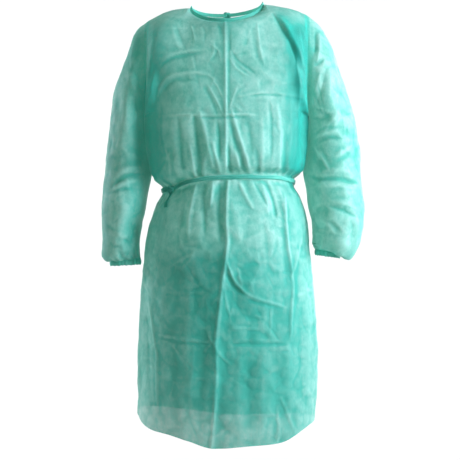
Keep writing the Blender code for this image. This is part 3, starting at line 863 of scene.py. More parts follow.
def mesh_piece(name: str, points: Array, faces: Array, corners: Array, shares: dict[str, Array],
               outward: Array | None = None) -> bpy.types.Object:
    """One object at the origin from points and four-cornered faces, in place of a solid.

    Args:
        name: The solid's name.
        points: Its points, as rows of x, y and z.
        faces: Rows of four point numbers, in order round each face.
        corners: The place on the flat cloth of each face's four corners, in metres.
        shares: Named numbers for each point, for the finish to read.
        outward: Directions that the faces are turned to, or None for a closed form about the origin,
            which is turned so that its volume is above 0.

    Returns:
        The object, riding on the gown's one body.
    """
    corner = points[faces]
    facing = np.cross(corner[:, 2] - corner[:, 0], corner[:, 3] - corner[:, 1])
    if np.sum((corner.mean(axis=1) if outward is None else outward[faces[:, 0]]) * facing) < 0:
        faces, corners = faces[:, ::-1], corners[:, ::-1]
    mesh = bpy.data.meshes.new(f"{name}_cloth")
    mesh.vertices.add(len(points))
    mesh.vertices.foreach_set("co", points.astype(np.float32).ravel())
    mesh.loops.add(faces.size)
    mesh.loops.foreach_set("vertex_index", faces.astype(np.int32).ravel())
    mesh.polygons.add(len(faces))
    mesh.polygons.foreach_set("loop_start", np.arange(0, faces.size, 4, dtype=np.int32))
    mesh.update(calc_edges=True)
    mesh.shade_smooth()
    layer = mesh.uv_layers.new(name="cloth")
    layer.data.foreach_set("uv", corners.astype(np.float32).ravel())
    for label, values in shares.items():
        made = mesh.attributes.new(label, "FLOAT", "POINT")
        made.data.foreach_set("value", values.astype(np.float32).ravel())
    mesh.validate()
    piece = bpy.data.objects.new(f"{name}_cloth", mesh)
    bpy.context.scene.collection.objects.link(piece)
    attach(piece, "root")
    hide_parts(name)
    return piece


def sheet_piece(name: str, points: Array, outward: Array, shares: dict[str, Array],
                wraps: bool = False) -> bpy.types.Object:
    """A grid of points as one thin sheet, its faces turned to the outward directions.

    Args:
        name: The solid's name.
        points: The grid, rows by columns by three.
        outward: The outward directions of its points.
        shares: Named numbers for each point.
        wraps: Whether the last column joins the first, as on a tube.

    Returns:
        The object.
    """
    whole = np.concatenate([points, points[:, :1]], axis=1) if wraps else points
    corners = unrolled(whole)[grid_faces(*whole.shape[:2])]
    faces = grid_faces(*points.shape[:2], wraps)
    return mesh_piece(name, points.reshape(-1, 3), faces, corners, shares, outward.reshape(-1, 3))


def swept_piece(name: str, rings: Array, shares: dict[str, Array], loop: bool = False) -> bpy.types.Object:
    """A closed form from rings of points: a skin round them, and a ladder of faces over each end.

    Args:
        name: The solid's name.
        rings: Rings by an even number of points by three.
        shares: Named numbers for each point.
        loop: Whether the last ring joins the first, so that there are no ends.

    Returns:
        The object, its faces turned outward.
    """
    count, size = rings.shape[:2]
    whole = np.concatenate([rings, rings[:1]]) if loop else rings
    flat = unrolled(np.concatenate([whole, whole[:, :1]], axis=1))
    faces = grid_faces(len(whole), size, True) % (count * size)
    corners = flat[grid_faces(len(whole), size + 1)]
    if not loop:
        step = np.arange(size // 2 - 1)
        ladder = np.stack([step, step + 1, size - 2 - step, size - 1 - step], -1)
        ends = np.concatenate([ladder, ladder[:, ::-1] + (count - 1) * size])
        faces = np.concatenate([faces, ends])
        corners = np.concatenate([corners, flat[np.where(ends < size, ends, ends + count - 1)]])
    return mesh_piece(name, rings.reshape(-1, 3), faces, corners, shares)


# --- shader expressions
class Sock:
    """A node's output socket that takes part in Python expressions, each adding a Math node."""

    def __init__(self, shade: "Shade", socket: bpy.types.NodeSocket) -> None:
        """Keep the tree's builder and the socket."""
        self.shade, self.socket = shade, socket

    def _math(self, operation: str, *values: Any) -> "Sock":
        """One Math node of these values."""
        return self.shade.node("Math", dict(enumerate(values)), operation=operation)

    def __add__(self, other: Any) -> "Sock":
        """Sum."""
        return self._math("ADD", self, other)

    __radd__ = __add__

    def __mul__(self, other: Any) -> "Sock":
        """Product."""
        return self._math("MULTIPLY", self, other)

    __rmul__ = __mul__

    def __sub__(self, other: Any) -> "Sock":
        """Difference."""
        return self._math("SUBTRACT", self, other)

    def __rsub__(self, other: Any) -> "Sock":
        """Difference, the other way round."""
        return self._math("SUBTRACT", other, self)

    def clamp(self, low: float = 0.0, high: float = 1.0) -> "Sock":
        """The value kept between two bounds."""
        return self._math("MINIMUM", self._math("MAXIMUM", self, low), high)

    def about(self, level: float, sway: float) -> "Sock":
        """Noise about 0.5, moved to a level and a sway of its own."""
        return level + (self - 0.5) * sway


class Shade:
    """Builds one material's nodes."""

    def __init__(self, name: str) -> None:
        """Make an empty material of that name.

        Args:
            name: The material's name.
        """
        self.material = bpy.data.materials.new(name)
        self.material.use_nodes = True
        self.tree = self.material.node_tree
        self.tree.nodes.clear()

    def node(self, kind: str, inputs: dict[Any, Any] | None = None, out: Any = 0, **settings: Any) -> Sock:
        """Add one node.

        Args:
            kind: The node's type, without the ShaderNode that it begins with.
            inputs: Values or sockets for its inputs, by name or number.
            out: The output to hand back, by name or number.
            settings: The node's own settings, put in first.

        Returns:
            That output.
        """
        made = self.tree.nodes.new(f"ShaderNode{kind}")
        for key, value in settings.items():
            setattr(made, key, value)
        for key, value in (inputs or {}).items():
            if isinstance(value, Sock):
                self.tree.links.new(value.socket, made.inputs[key])
            else:
                made.inputs[key].default_value = value
        return Sock(self, made.outputs[out])

    def blend(self, share: Any, first: Any, second: Any) -> Sock:
        """A colour between two, by a share from 0 to 1."""
        return self.node("Mix", {0: share, 6: first, 7: second}, out=2, data_type="RGBA")

    def noise(self, at: Sock, scale: float, detail: float = 3.0, rough: float = 0.55) -> Sock:
        """Even noise about 0.5."""
        inputs = {"Vector": at, "Scale": scale, "Detail": detail, "Roughness": rough}
        return self.node("TexNoise", inputs, noise_dimensions="3D")

    def share(self, name: str) -> Sock:
        """A number that the mesh carries for each point."""
        return self.node("Attribute", out="Fac", attribute_name=name)

    def finish(self, surface: Sock) -> bpy.types.Material:
        """Join the surface to the output and hand over the material.

        Args:
            surface: The finished shader.

        Returns:
            The material.
        """
        out = self.tree.nodes.new("ShaderNodeOutputMaterial")
        self.tree.links.new(surface.socket, out.inputs["Surface"])
        return self.material


Colour = tuple[float, float, float, float]


def tint(red: float, green: float, blue: float) -> Colour:
    """A full colour."""
    return red, green, blue, 1.0


@dataclass(frozen=True)
class NonWoven:
    """Spunbond non-woven cloth: fine fibres in a cloudy web, pressed together at small points.

    Attributes:
        name: The material's name.
        pale, deep: Colours where the web is thin, also drawn on lightened ridges as partly stress-whitened
            fibres and partly painted highlight, and where it is thick.
        doubled_and_shaded, shade_tone, deep_shade_tone: Colours where it lies double with painted shade
        added, of painted shade, and of the deepest painted shade.
        passed, gap: Colours of light that comes through the fibres, and between them.
        cover, seam_cover: Share of the surface that the fibres cover, and the same at a seam.
        glow: Share of the covering fibres that pass light on.
        bond: Distance between two bond points in metres.
        drift, cloud, web, fibre: Scale, detail and roughness of the noise at four sizes.
        ridge_light_trough_shade: How far ridges are lightened, partly stress-whitened fibres and partly
            painted highlight, and troughs darkened with painted shade.
        relief: Strength and height of the bump.
        streak: Stretch of the cloud and the web each way.
        mix: Weights of the drift, the cloud and the web in the thickness.
        shade_tone_by, doubled_by, deep_shade_by: Strength of each tone's share, and its swing with the noise.
        cover_swing, rough_swing: How far the thickness moves the cover and the roughness.
        crease_cover: Cover that a sharp crease adds.
        limits: Least and most cover.
        dimmed: Share of the passed light that the painted shade share takes away.
        stray, bond_size: How uneven the bond points are, and how far across each is pressed in.
        bumps: Heights of the cloud, the web, the fibres and the bond points.
    """

    name: str
    pale: Colour
    deep: Colour
    doubled_and_shaded: Colour
    shade_tone: Colour
    deep_shade_tone: Colour
    passed: Colour
    cover: float
    glow: float
    gap: Colour = tint(0.93, 1.0, 0.985)
    bond: float = 0.0016
    drift: Triple = (9.0, 2.0, 0.5)
    cloud: Triple = (42.0, 4.0, 0.62)
    web: Triple = (190.0, 3.0, 0.65)
    fibre: Triple = (900.0, 2.0, 0.6)
    ridge_light_trough_shade: float = 0.45
    seam_cover: float = 0.95
    rough: float = 0.50
    sheen: float = 0.12
    sheen_rough: float = 0.45
    shine: float = 0.28
    relief: Span = (0.45, 0.0010)
    streak: Triple = (1.0, 1.0, 0.7)
    mix: Triple = (1.1, 0.9, 1.1)
    shade_tone_by: Span = (0.85, 0.9)
    doubled_by: Span = (0.78, 1.1)
    deep_shade_by: Span = (0.85, 1.5)
    cover_swing: float = 0.12
    crease_cover: float = 0.08
    rough_swing: float = 0.2
    limits: Span = (0.05, 0.98)
    dimmed: float = 0.45
    stray: float = 0.25
    bond_size: float = 0.45
    bumps: tuple[float, ...] = (1.4, 0.6, 0.3, 0.8)

    def build(self) -> bpy.types.Material:
        """Make the material.

        Cloudiness is noise at three sizes. The seam share adds cover and depth, for cloth that lies double
        and for painted shade. The layer share is painted shade, drawing the colour to a darker, deeper green
        and dimming the glow, and past 1 to the deepest painted shade. The crease share lightens ridges,
        partly stress-whitened fibres and partly painted highlight, and darkens troughs with painted shade.
        Fibres and bond points raise a bump.

        Returns:
            The material.
        """
        shade = Shade(self.name)
        flat = shade.node("UVMap", uv_map="cloth")
        place = shade.node("TexCoord", out="Object")
        seam, crease, layer = (shade.share(name) for name in ("seam", "crease", "layer"))
        streak = shade.node("Mapping", {"Vector": place, "Scale": self.streak})
        drift = shade.noise(place, *self.drift)
        cloud = shade.noise(streak, *self.cloud)
        web = shade.noise(streak, *self.web)
        fibre = shade.noise(flat, *self.fibre)
        wide, middle, fine = self.mix
        cloudy = (drift - 0.5) * wide + (cloud - 0.5) * middle + (web - 0.5) * fine + 0.5
        # Ridges lighten, partly stress-whitened fibres and partly painted highlight; troughs deepen as
        # painted shade.
        thick = (cloudy - crease * self.ridge_light_trough_shade).clamp()
        tone = shade.blend(thick, self.pale, self.deep)
        # Painted shade: troughs and the layer share draw the tone to a darker, deeper green.
        under = layer + (0.0 - crease).clamp() * self.ridge_light_trough_shade
        tone = shade.blend((under * cloud.about(*self.shade_tone_by)).clamp(), tone, self.shade_tone)
        # Cloth that lies double at seams, and painted shade where the seam share holds the side bands, the
        # armhole share and pleat troughs.
        tone = shade.blend((seam * web.about(*self.doubled_by)).clamp(), tone, self.doubled_and_shaded)
        # The deepest painted shade, where the layer share passes 1 between body and sleeve.
        depth = (layer - 1.0).clamp() * cloud.about(*self.deep_shade_by)
        tone = shade.blend(depth.clamp(), tone, self.deep_shade_tone)
        cover = thick.about(self.cover, self.cover_swing) + seam * (self.seam_cover - self.cover)
        cover = cover + crease * crease * self.crease_cover
        bonds = {"Vector": flat, "Scale": 1.0 / self.bond, "Randomness": self.stray}
        cell = shade.node("TexVoronoi", bonds, out="Distance", feature="F1")
        high, mid, low, bond = self.bumps
        height = cloud * high + web * mid + fibre * low + cell.clamp(0.0, self.bond_size) * bond
        strength, distance = self.relief
        bump = shade.node("Bump", {"Strength": strength, "Distance": distance, "Height": height})
        lit = shade.node("BsdfPrincipled", {
            "Base Color": tone, "Roughness": thick.about(self.rough, self.rough_swing), "Normal": bump,
            "Sheen Weight": self.sheen, "Sheen Roughness": self.sheen_rough,
            "Specular IOR Level": self.shine})
        passed = shade.node("BsdfTranslucent", {"Color": self.passed, "Normal": bump})
        # The layer share, which is painted shade, also dims the glow.
        fibres = shade.node("MixShader", {0: self.glow * (1.0 - layer * self.dimmed), 1: lit, 2: passed})
        gap = shade.node("BsdfTransparent", {"Color": self.gap})
        return shade.finish(shade.node("MixShader", {0: cover.clamp(*self.limits), 1: gap, 2: fibres}))


# Each finish holds painted shade colours: the double-cloth green also serves painted shade, and the two after
# it are painted shade alone.
CLOTH = NonWoven(
    "green_nonwoven", pale=tint(0.510, 0.800, 0.735), deep=tint(0.095, 0.480, 0.400),
    doubled_and_shaded=tint(0.012, 0.530, 0.435), shade_tone=tint(0.022, 0.380, 0.310), deep_shade_tone=tint(0.008, 0.190, 0.155),
    passed=tint(0.420, 0.900, 0.740), cover=0.87, glow=0.28)
FOLDED = NonWoven(
    "green_nonwoven_folded", pale=tint(0.270, 0.740, 0.655), deep=tint(0.090, 0.520, 0.445),
    doubled_and_shaded=tint(0.020, 0.420, 0.345), shade_tone=tint(0.030, 0.400, 0.320), deep_shade_tone=tint(0.010, 0.200, 0.160),
    passed=tint(0.300, 0.850, 0.720), cover=0.90, glow=0.40)


class Wardrobe:
    """Keeps one material of each finish."""

    def __init__(self) -> None:
        """Start with none."""
        self.made: dict[str, bpy.types.Material] = {}

    def dress(self, piece: bpy.types.Object, finish: NonWoven) -> bpy.types.Object:
        """Give a piece its finish.

        Args:
            piece: The piece.
            finish: Its finish.

        Returns:
            The piece.
        """
        if finish.name not in self.made:
            self.made[finish.name] = finish.build()
        piece.data.materials.append(self.made[finish.name])
        return piece


# --- the panels
@dataclass(frozen=True)
class Fineness:
    """How many rows and columns a panel's grid has."""

    yoke_rows: int
    low_rows: int
    columns: int

    def rows(self) -> Array:
        """Rows from the top edge, 0, past the underarm, 1, to the hem, 2."""
        yoke, low = (np.linspace(0, 1, count + 1) for count in (self.yoke_rows, self.low_rows))
        return np.concatenate([yoke, 1 + low[1:]])


@dataclass(frozen=True)
class Seams:
    """Where a sheet lies double or is cut: widths in metres from its edges, and a cut edge's share."""

    turned: float = 0.0075
    blur: float = 0.0012
    cut: float = 0.0022
    cut_share: float = 0.35
    cut_blur: Span = (0.5, 1.5)

    def band(self, distance: Array) -> Array:
        """1 within a seam's allowance of an edge, where the cloth lies double, and 0 farther in."""
        return 1 - between(distance, self.turned - self.blur, self.turned + self.blur)

    def rim(self, distance: Array) -> Array:
        """The slight thickness of a cut edge, at about a third of a seam's."""
        near, far = self.cut_blur
        return self.cut_share * (1 - between(distance, self.cut * near, self.cut * far))


SEAMS = Seams()


@dataclass(frozen=True)
class PaintedShade:
    """Painted shade on a panel, a darker and deeper green: by its top edge and sides, and down the skirt.

    Single numbers are shares, and pairs are the distances or depths between which a share comes or goes.
    """

    side: float = 0.55
    side_chest: float = 0.35
    side_left: float = 0.75
    sides: Span = (0.110, 0.175)
    sides_down: Span = (0.02, 0.08)
    chest: Span = (0.42, 0.50)
    top: float = 0.6
    top_edge: Span = (0.008, 0.060)
    skirt: float = 0.95
    skirt_side: float = 0.40
    skirt_sides: Span = (0.150, 0.200)
    skirt_down: Span = (0.55, 0.66)

    def share(self, points: Array) -> Array:
        """The share at each of a panel's points.

        Args:
            points: The panel's points.

        Returns:
            The shares, past 1 where it lies deep between the body and the sleeve.
        """
        beside, down = np.abs(points[..., 0]), -points[..., 2]
        # Painted shade down the sides, strongest at the chest and on the wearer's left, in the recess by the
        # sleeve.
        chest = 1 - between(down, *self.chest)
        aside = between(beside, *self.sides) * between(down, *self.sides_down)
        aside = aside * (self.side + (self.side_chest + self.side_left * (points[..., 0] > 0)) * chest)
        # Painted shade near the top edge, and darker down the skirt, less toward its sides.
        above = self.top * (1 - between(lengths(points, 0), *self.top_edge))
        skirt = self.skirt - self.skirt_side * between(beside, *self.skirt_sides)
        return np.maximum.reduce([aside, above, skirt * between(down, *self.skirt_down)])


@dataclass
class Panel:
    """One panel of the body as a fine sheet, with its folds and its turned seams.

    Attributes:
        flat, area: Width and length in metres of its cut, and its area in square metres; neither is used.
        flutes: Folds by distance along the cloth from the side seam.
        shade_bands: Bands of painted shade beside the armholes and sides, in the colour of cloth that lies
            double; a millimetre of height is the whole of it.
        side_quiet, top_quiet: How soon the folds grow from the side seams, and from the top edge.
        laid_ease, drawn_ease, small_ease: Distance from the belt over which each kind grows.
        small_high, small_down, small_edge: The small wrinkles' share above the skirt, the depth over
            which it grows to the whole, and their share at the edges.
        ease_rows, ease_reach: Rows about the underarm, and points about each, of its gentle bend.
    """

    name: str
    side: Side
    fineness: Fineness
    flat: Span
    area: float
    creases: tuple[Crease, ...]
    crumple: Crumple
    over_belt: Gathers
    under_belt: Gathers
    facets: tuple[Facets, ...]
    flutes: tuple[Crease, ...]
    shade_bands: tuple[Crease, ...]
    # Painted shade: a darker, deeper green by the sides, the top edge and down the skirt.
    painted_shade: PaintedShade = PaintedShade()
    waist_quarter: float = 0.225
    side_quiet: float = 9.0
    top_quiet: Span = (0.0, 0.05)
    belt_half: float = 0.004
    laid_ease: Span = (0.003, 0.020)
    drawn_ease: Span = (0.004, 0.012)
    small_ease: Span = (0.002, 0.018)
    small_high: float = 0.55
    small_down: Span = (0.48, 0.66)
    small_edge: float = 0.12
    ease_rows: float = 0.035
    ease_reach: int = 5
    smooth: int = 6

    def across(self, rows: Array) -> Array:
        """Shares across of each point, one row of them for each row of the panel."""
        return np.linspace(-1, 1, self.fineness.columns + 1)[None, :].repeat(len(rows), 0)

    def lap(self, across: Array) -> Array:
        """How far the panel lies inside the form."""
        return np.zeros_like(across)

    def lift(self, points: Array, outward: Array, across: Array, row: Array) -> Array:
        """All the folds at the panel's points: laid creases, belt gathers and the small wrinkles.

        Args:
            points: The plain form's points.
            outward: Their outward directions.
            across: Their shares across.
            row: Their rows.

        Returns:
            The outward move of each point in metres, nought at the sewn edges.
        """
        away = points[..., 2] - FORM.belt_height(self.side, across)
        apart = np.abs(away)
        along_belt = across * self.waist_quarter
        folds = creased(self.creases, points[..., 0], points[..., 2]) * between(apart, *self.laid_ease)
        drawn = self.over_belt.lift(along_belt, away - self.belt_half)
        drawn += self.under_belt.lift(along_belt, -away - self.belt_half)
        drawn = drawn * between(apart, *self.drawn_ease)
        small = small_folds(points, outward, self.crumple, self.facets) * between(apart, *self.small_ease)
        small = small * (self.small_high + (1 - self.small_high) * between(-points[..., 2], *self.small_down))
        quiet = soft_step((1 - np.abs(across)) * self.side_quiet) * between(row, *self.top_quiet)
        at_side = creased(self.flutes, self.from_side(points, across), points[..., 2])
        return (folds + drawn) * quiet + small * np.maximum(quiet, self.small_edge) + at_side

    def from_side(self, points: Array, across: Array) -> Array:
        """Distance along the cloth from the side seam, below 0 on the right half."""
        u = lengths(points, 1)
        return np.where(across > 0, u[:, -1:] - u, -u)

    def eased(self, points: Array, row: Array) -> Array:
        """The form with its bend at the underarm made gentle, away from the side seams.

        Args:
            points: The form's points.
            row: Their rows.

        Returns:
            The eased points.
        """
        share = np.exp(-((row - 1) / self.ease_rows) ** 2)[..., None]
        share[:, :1] = share[:, -1:] = 0
        return points + share * (blurred(points, self.ease_reach) - points)

    def seams(self, points: Array) -> Array:
        """The seam share of each point: both sides and the top are turned, the hem is cut, and the bands of
        painted shade are added in.

        Args:
            points: The panel's points.

        Returns:
            The shares.
        """
        u, v = lengths(points, 1), lengths(points, 0)
        at_side = SEAMS.band(np.minimum(u, u[:, -1:] - u))
        return np.maximum.reduce([at_side, SEAMS.band(v), SEAMS.rim(v[-1:] - v), self.side_shade(points)])

    def side_shade(self, points: Array) -> Array:
        """How far the bands of painted shade beside the armholes and sides cover each point."""
        return np.clip(creased(self.shade_bands, points[..., 0], points[..., 2]) / MM, 0, 1)

    def build(self, wardrobe: "Wardrobe") -> bpy.types.Object:
        """Make the panel, dressed.

        Args:
            wardrobe: Keeper of the finishes.

        Returns:
            The panel.
        """
        rows = self.fineness.rows()
        across = self.across(rows)
        row = rows[:, None].repeat(across.shape[1], 1)
        plain = self.eased(FORM.surface(self.side, across, row), row)
        outward = unit(blurred(FORM.outward(self.side, across, row), self.smooth))
        lift = self.lift(plain, outward, across, row)
        points = plain + outward * (lift - self.lap(across))[..., None]
        # For the finish: seam holds the seams and painted shade bands; crease lightens ridges, partly painted
        # highlight, and shades troughs; layer is painted shade.
        shares = {"seam": self.seams(points), "crease": sharpness(lift), "layer": self.painted_shade.share(points)}
        piece = sheet_piece(self.name, points, outward, shares)
        wardrobe.dress(piece, CLOTH)
        return piece


@dataclass
class BackPanel(Panel):
    """One back panel, from its side seam to its free edge past the middle of the back."""

    hand: Hand = Hand.LEFT
    edge_rows: tuple[float, ...] = (0.0, 0.5, 1.0, 2.0)
    edge_shares: tuple[float, ...] = (0.010, 0.180, 0.250, 0.280)
    lap_side: Span = (0.50, 0.80)

    def across(self, rows: Array) -> Array:
        """Shares from the right to the left, from or to the free edge, which moves out downward.

        Args:
            rows: The panel's rows.

        Returns:
            A row of shares for each.
        """
        edge = through(self.edge_rows, self.edge_shares, rows)
        share = np.linspace(0, 1, self.fineness.columns + 1)[None, :]
        made = self.hand.value * (1 - (1 + edge[:, None]) * share)
        return made[:, ::-1] if self.hand is Hand.LEFT else made

    def lap(self, across: Array) -> Array:
        """Only the left back goes in, under the right one.

        Args:
            across: Shares across.

        Returns:
            How far inside in metres.
        """
        if self.hand is Hand.RIGHT:
            return np.zeros_like(across)
        return FORM.lap_step * (1 - between(across, *self.lap_side))

    def seams(self, points: Array) -> Array:
        """As on any panel, but the free edge is cut and not turned.

        Args:
            points: The panel's points.

        Returns:
            The shares.
        """
        u, v = lengths(points, 1), lengths(points, 0)
        ends = (u[:, -1:] - u, u) if self.hand is Hand.LEFT else (u, u[:, -1:] - u)
        edges = (SEAMS.band(ends[0]), SEAMS.rim(ends[1]), SEAMS.band(v), SEAMS.rim(v[-1:] - v))
        # The bands of painted shade join the seam share here as well.
        return np.maximum.reduce([*edges, self.side_shade(points)])

    def from_side(self, points: Array, across: Array) -> Array:
        """Distance along the cloth from the side seam, below 0 on the right back."""
        u = lengths(points, 1)
        return u[:, -1:] - u if self.hand is Hand.LEFT else -u


@dataclass
class Sleeve:
    """One set-in sleeve, a tube from the armhole to the elastic at the wrist.

    Attributes:
        flat, area: Width and length in metres of its cut, and its area in square metres; neither is used.
        armhole_shade: Share of painted shade beside the armhole, in the colour of cloth that lies double, and
            between which x it ends.
        inner: Share of painted shade toward the inner edge, and between which -cos it comes.
        outer: The same painted shade toward the outer edge.
        front_turn: Sine of the angle between which front folds take over from back ones.
        inside, inside_turn, inside_rows: How much less the folds are on the inner side, between which
            -cos of the angle that comes, and between which rows it ends.
    """

    hand: Hand
    flat: Span
    area: float
    front: tuple[Crease, ...]
    back: tuple[Crease, ...]
    armhole_shade: Triple
    inner: Triple
    outer: float
    crumple: Crumple
    facets: tuple[Facets, ...]
    gathers: Gathers
    rows: int = 250
    columns: int = 176
    wrist_row: float = 14.0
    front_turn: Span = (-0.25, 0.30)
    armhole_quiet: Span = (0.0, 0.030)
    wrist_quiet: Span = (0.0, 0.010)
    inside: float = 0.85
    inside_turn: Span = (0.55, 0.95)
    inside_rows: Span = (8.0, 10.0)
    small_edge: float = 0.1
    armhole_shade_down: Span = (0.04, 0.12)
    armhole_shade_end: Span = (0.36, 0.44)
    outer_turn: Span = (0.45, 0.85)
    edge_shade_down: Span = (0.04, 0.12)
    wrist_seam: float = 0.6
    wrist_scale: float = 1.5
    first_row: float = 0.01

    @property
    def name(self) -> str:
        """The piece's name, which its solid has too."""
        return f"sleeve_{self.hand.name.lower()}"

    def lift(self, points: Array, outward: Array, around: Array, along: Array) -> Array:
        """The folds: laid creases front and back, gathers over the wrist, and small wrinkles.

        Args:
            points: The plain form's points.
            outward: Their outward directions.
            around: Their angles from the outer edge.
            along: Their rows.

        Returns:
            The outward move of each point in metres, nought at the armhole and the cuff.
        """
        x, z = points[..., 0], points[..., 2]
        forward = between(np.sin(around), *self.front_turn)
        folds = creased(self.front, x, z) * forward + creased(self.back, x, z) * (1 - forward)
        down = lengths(points, 0)
        from_wrist = down[-1:] - down
        wrist = float(lengths(points, 1)[-1].max())
        drawn = self.gathers.lift((around - math.pi) / (2 * math.pi) * wrist, from_wrist)
        small = small_folds(points, outward, self.crumple, self.facets)
        quiet = between(down, *self.armhole_quiet) * between(from_wrist, *self.wrist_quiet)
        inside = between(-np.cos(around), *self.inside_turn) * (1 - between(along, *self.inside_rows))
        inside = 1 - self.inside * inside
        return (folds * inside + drawn) * quiet + small * np.minimum(quiet + self.small_edge, inside)

    def seams(self, points: Array) -> Array:
        """The armhole seam and the underarm seam, where the columns start, the turned wrist, and painted
        shade beside the armhole.

        Args:
            points: The sleeve's points.

        Returns:
            The shares.
        """
        u, v = lengths(points, 1), lengths(points, 0)
        at_wrist = self.wrist_seam * SEAMS.band((v[-1:] - v) * self.wrist_scale)
        return np.maximum.reduce([SEAMS.band(v), SEAMS.band(u), at_wrist, self.armhole_shade_share(points)])

    def armhole_shade_share(self, points: Array) -> Array:
        """How far painted shade, in the colour of cloth that lies double, covers the sleeve beside the
        armhole.

        Args:
            points: The sleeve's points.

        Returns:
            The shares.
        """
        share, near, far = self.armhole_shade
        down = -points[..., 2]
        # Painted shade in the recess between sleeve and body.
        made = share * (1 - between(np.abs(points[..., 0]), near, far)) * between(down, *self.armhole_shade_down)
        return made * (1 - between(down, *self.armhole_shade_end))

    def edge_shade(self, points: Array, around: Array) -> Array:
        """Painted shade, a darker and deeper green, toward the sleeve's outer and inner edges.

        Args:
            points: The sleeve's points.
            around: Their angles.

        Returns:
            The shares.
        """
        share, near, far = self.inner
        outer, inner = between(np.cos(around), *self.outer_turn), between(-np.cos(around), near, far)
        return np.maximum(self.outer * outer, share * inner) * between(-points[..., 2], *self.edge_shade_down)

    def build(self, wardrobe: "Wardrobe") -> bpy.types.Object:
        """Make the sleeve, dressed.

        Args:
            wardrobe: Keeper of the finishes.

        Returns:
            The sleeve.
        """
        turns = math.pi + np.arange(self.columns) * 2 * math.pi / self.columns
        along, around = np.meshgrid(np.linspace(0, self.wrist_row, self.rows + 1), turns, indexing="ij")
        plain = sleeve_surface(self.hand, around, along)
        outward = sleeve_outward(self.hand, around, np.maximum(along, self.first_row))
        lift = self.lift(plain, outward, around, along)
        points = plain + outward * lift[..., None]
        # The layer share is painted shade toward the sleeve's edges; crease lightens ridges partly as painted
        # highlight and deepens troughs as painted shade; seam holds painted shade beside the armhole.
        layer = self.edge_shade(points, around)
        shares = {"seam": self.seams(points), "crease": sharpness(lift), "layer": layer}
        piece = sheet_piece(self.name, points, outward, shares, wraps=True)
        wardrobe.dress(piece, CLOTH)
        return piece


# --- bands, ties and knots
@dataclass
class Cuff:
    """The turned end of a sleeve over its elastic: a short tube, puckered by the elastic.

    Its profile is a closed loop, out at the top, down the outside, round the fold and up the inside,
    pushed in and out by uneven waves round the wrist. Its upper edge is drawn in toward the sleeve. It
    shows as double cloth by a share that is highest at the top, and painted shade adds to it in the troughs
    of the waves.
    """

    hand: Hand
    height: float = 0.0150
    wall: float = 0.0022
    pucker: float = 0.0013
    waves: tuple[int, ...] = (23, 14, 31, 7)
    shares: tuple[float, ...] = (0.5, 0.35, 0.25, 0.3)
    seat: float = -0.0012
    columns: int = 360
    profile_points: int = 28
    square: float = 0.45
    belly: float = 0.0010
    pucker_ends: float = 0.35
    pucker_middle: float = 0.25
    clear: float = 0.0004
    tuck: float = 0.0006
    tuck_reach: float = 0.0020
    droop: float = 0.0009
    doubled_and_shaded: float = 0.12
    pucker_shade: float = 0.35
    doubled_reach: float = 0.0036
    seed: int = 5

    @property
    def name(self) -> str:
        """The piece's name, which its solid has too."""
        return f"cuff_{self.hand.name.lower()}"

    def profile(self) -> tuple[Array, Array]:
        """Distances down and in of the closed profile's points, with round ends."""
        turn = circle(self.profile_points)
        return self.height / 2 * (1 - np.cos(turn)), self.wall / 2 * (1 - squared(np.sin(turn), self.square))

    def build(self, wardrobe: "Wardrobe") -> bpy.types.Object:
        """Make the cuff, dressed.

        Args:
            wardrobe: Keeper of the finishes.

        Returns:
            The cuff.
        """
        turns = np.arange(self.columns) * 2 * math.pi / self.columns
        wrist = sleeve_surface(self.hand, turns, np.full_like(turns, Sleeve.wrist_row))
        spread = unit((wrist - wrist.mean(axis=0)) * LEVEL)
        draw = np.random.default_rng(self.seed + self.hand.value)
        phases = draw.uniform(0, 2 * math.pi, len(self.waves))
        wave = sum(share * np.sin(count * turns + phase)
                   for count, share, phase in zip(self.waves, self.shares, phases))
        down, inward = self.profile()
        belly = np.sin(math.pi * down / self.height)
        move = self.pucker * wave[:, None] * (self.pucker_ends + self.pucker_middle * belly)
        tuck = self.tuck * np.exp(-(down / self.tuck_reach) ** 2)
        out = self.belly * belly - inward + move - self.clear - tuck
        rings = wrist[:, None] + spread[:, None] * out[..., None]
        rings[..., 2] -= self.seat + down + self.droop * wave[:, None] * (down / self.height) ** 2
        top = np.exp(-(down / self.doubled_reach) ** 2)
        # The turned top shows as double cloth; the share that rises in the pucker troughs is painted shade.
        fold = np.clip(self.doubled_and_shaded - self.pucker_shade * wave[:, None] + top, 0, 1)
        return wardrobe.dress(swept_piece(self.name, rings, {"seam": fold}, loop=True), FOLDED)


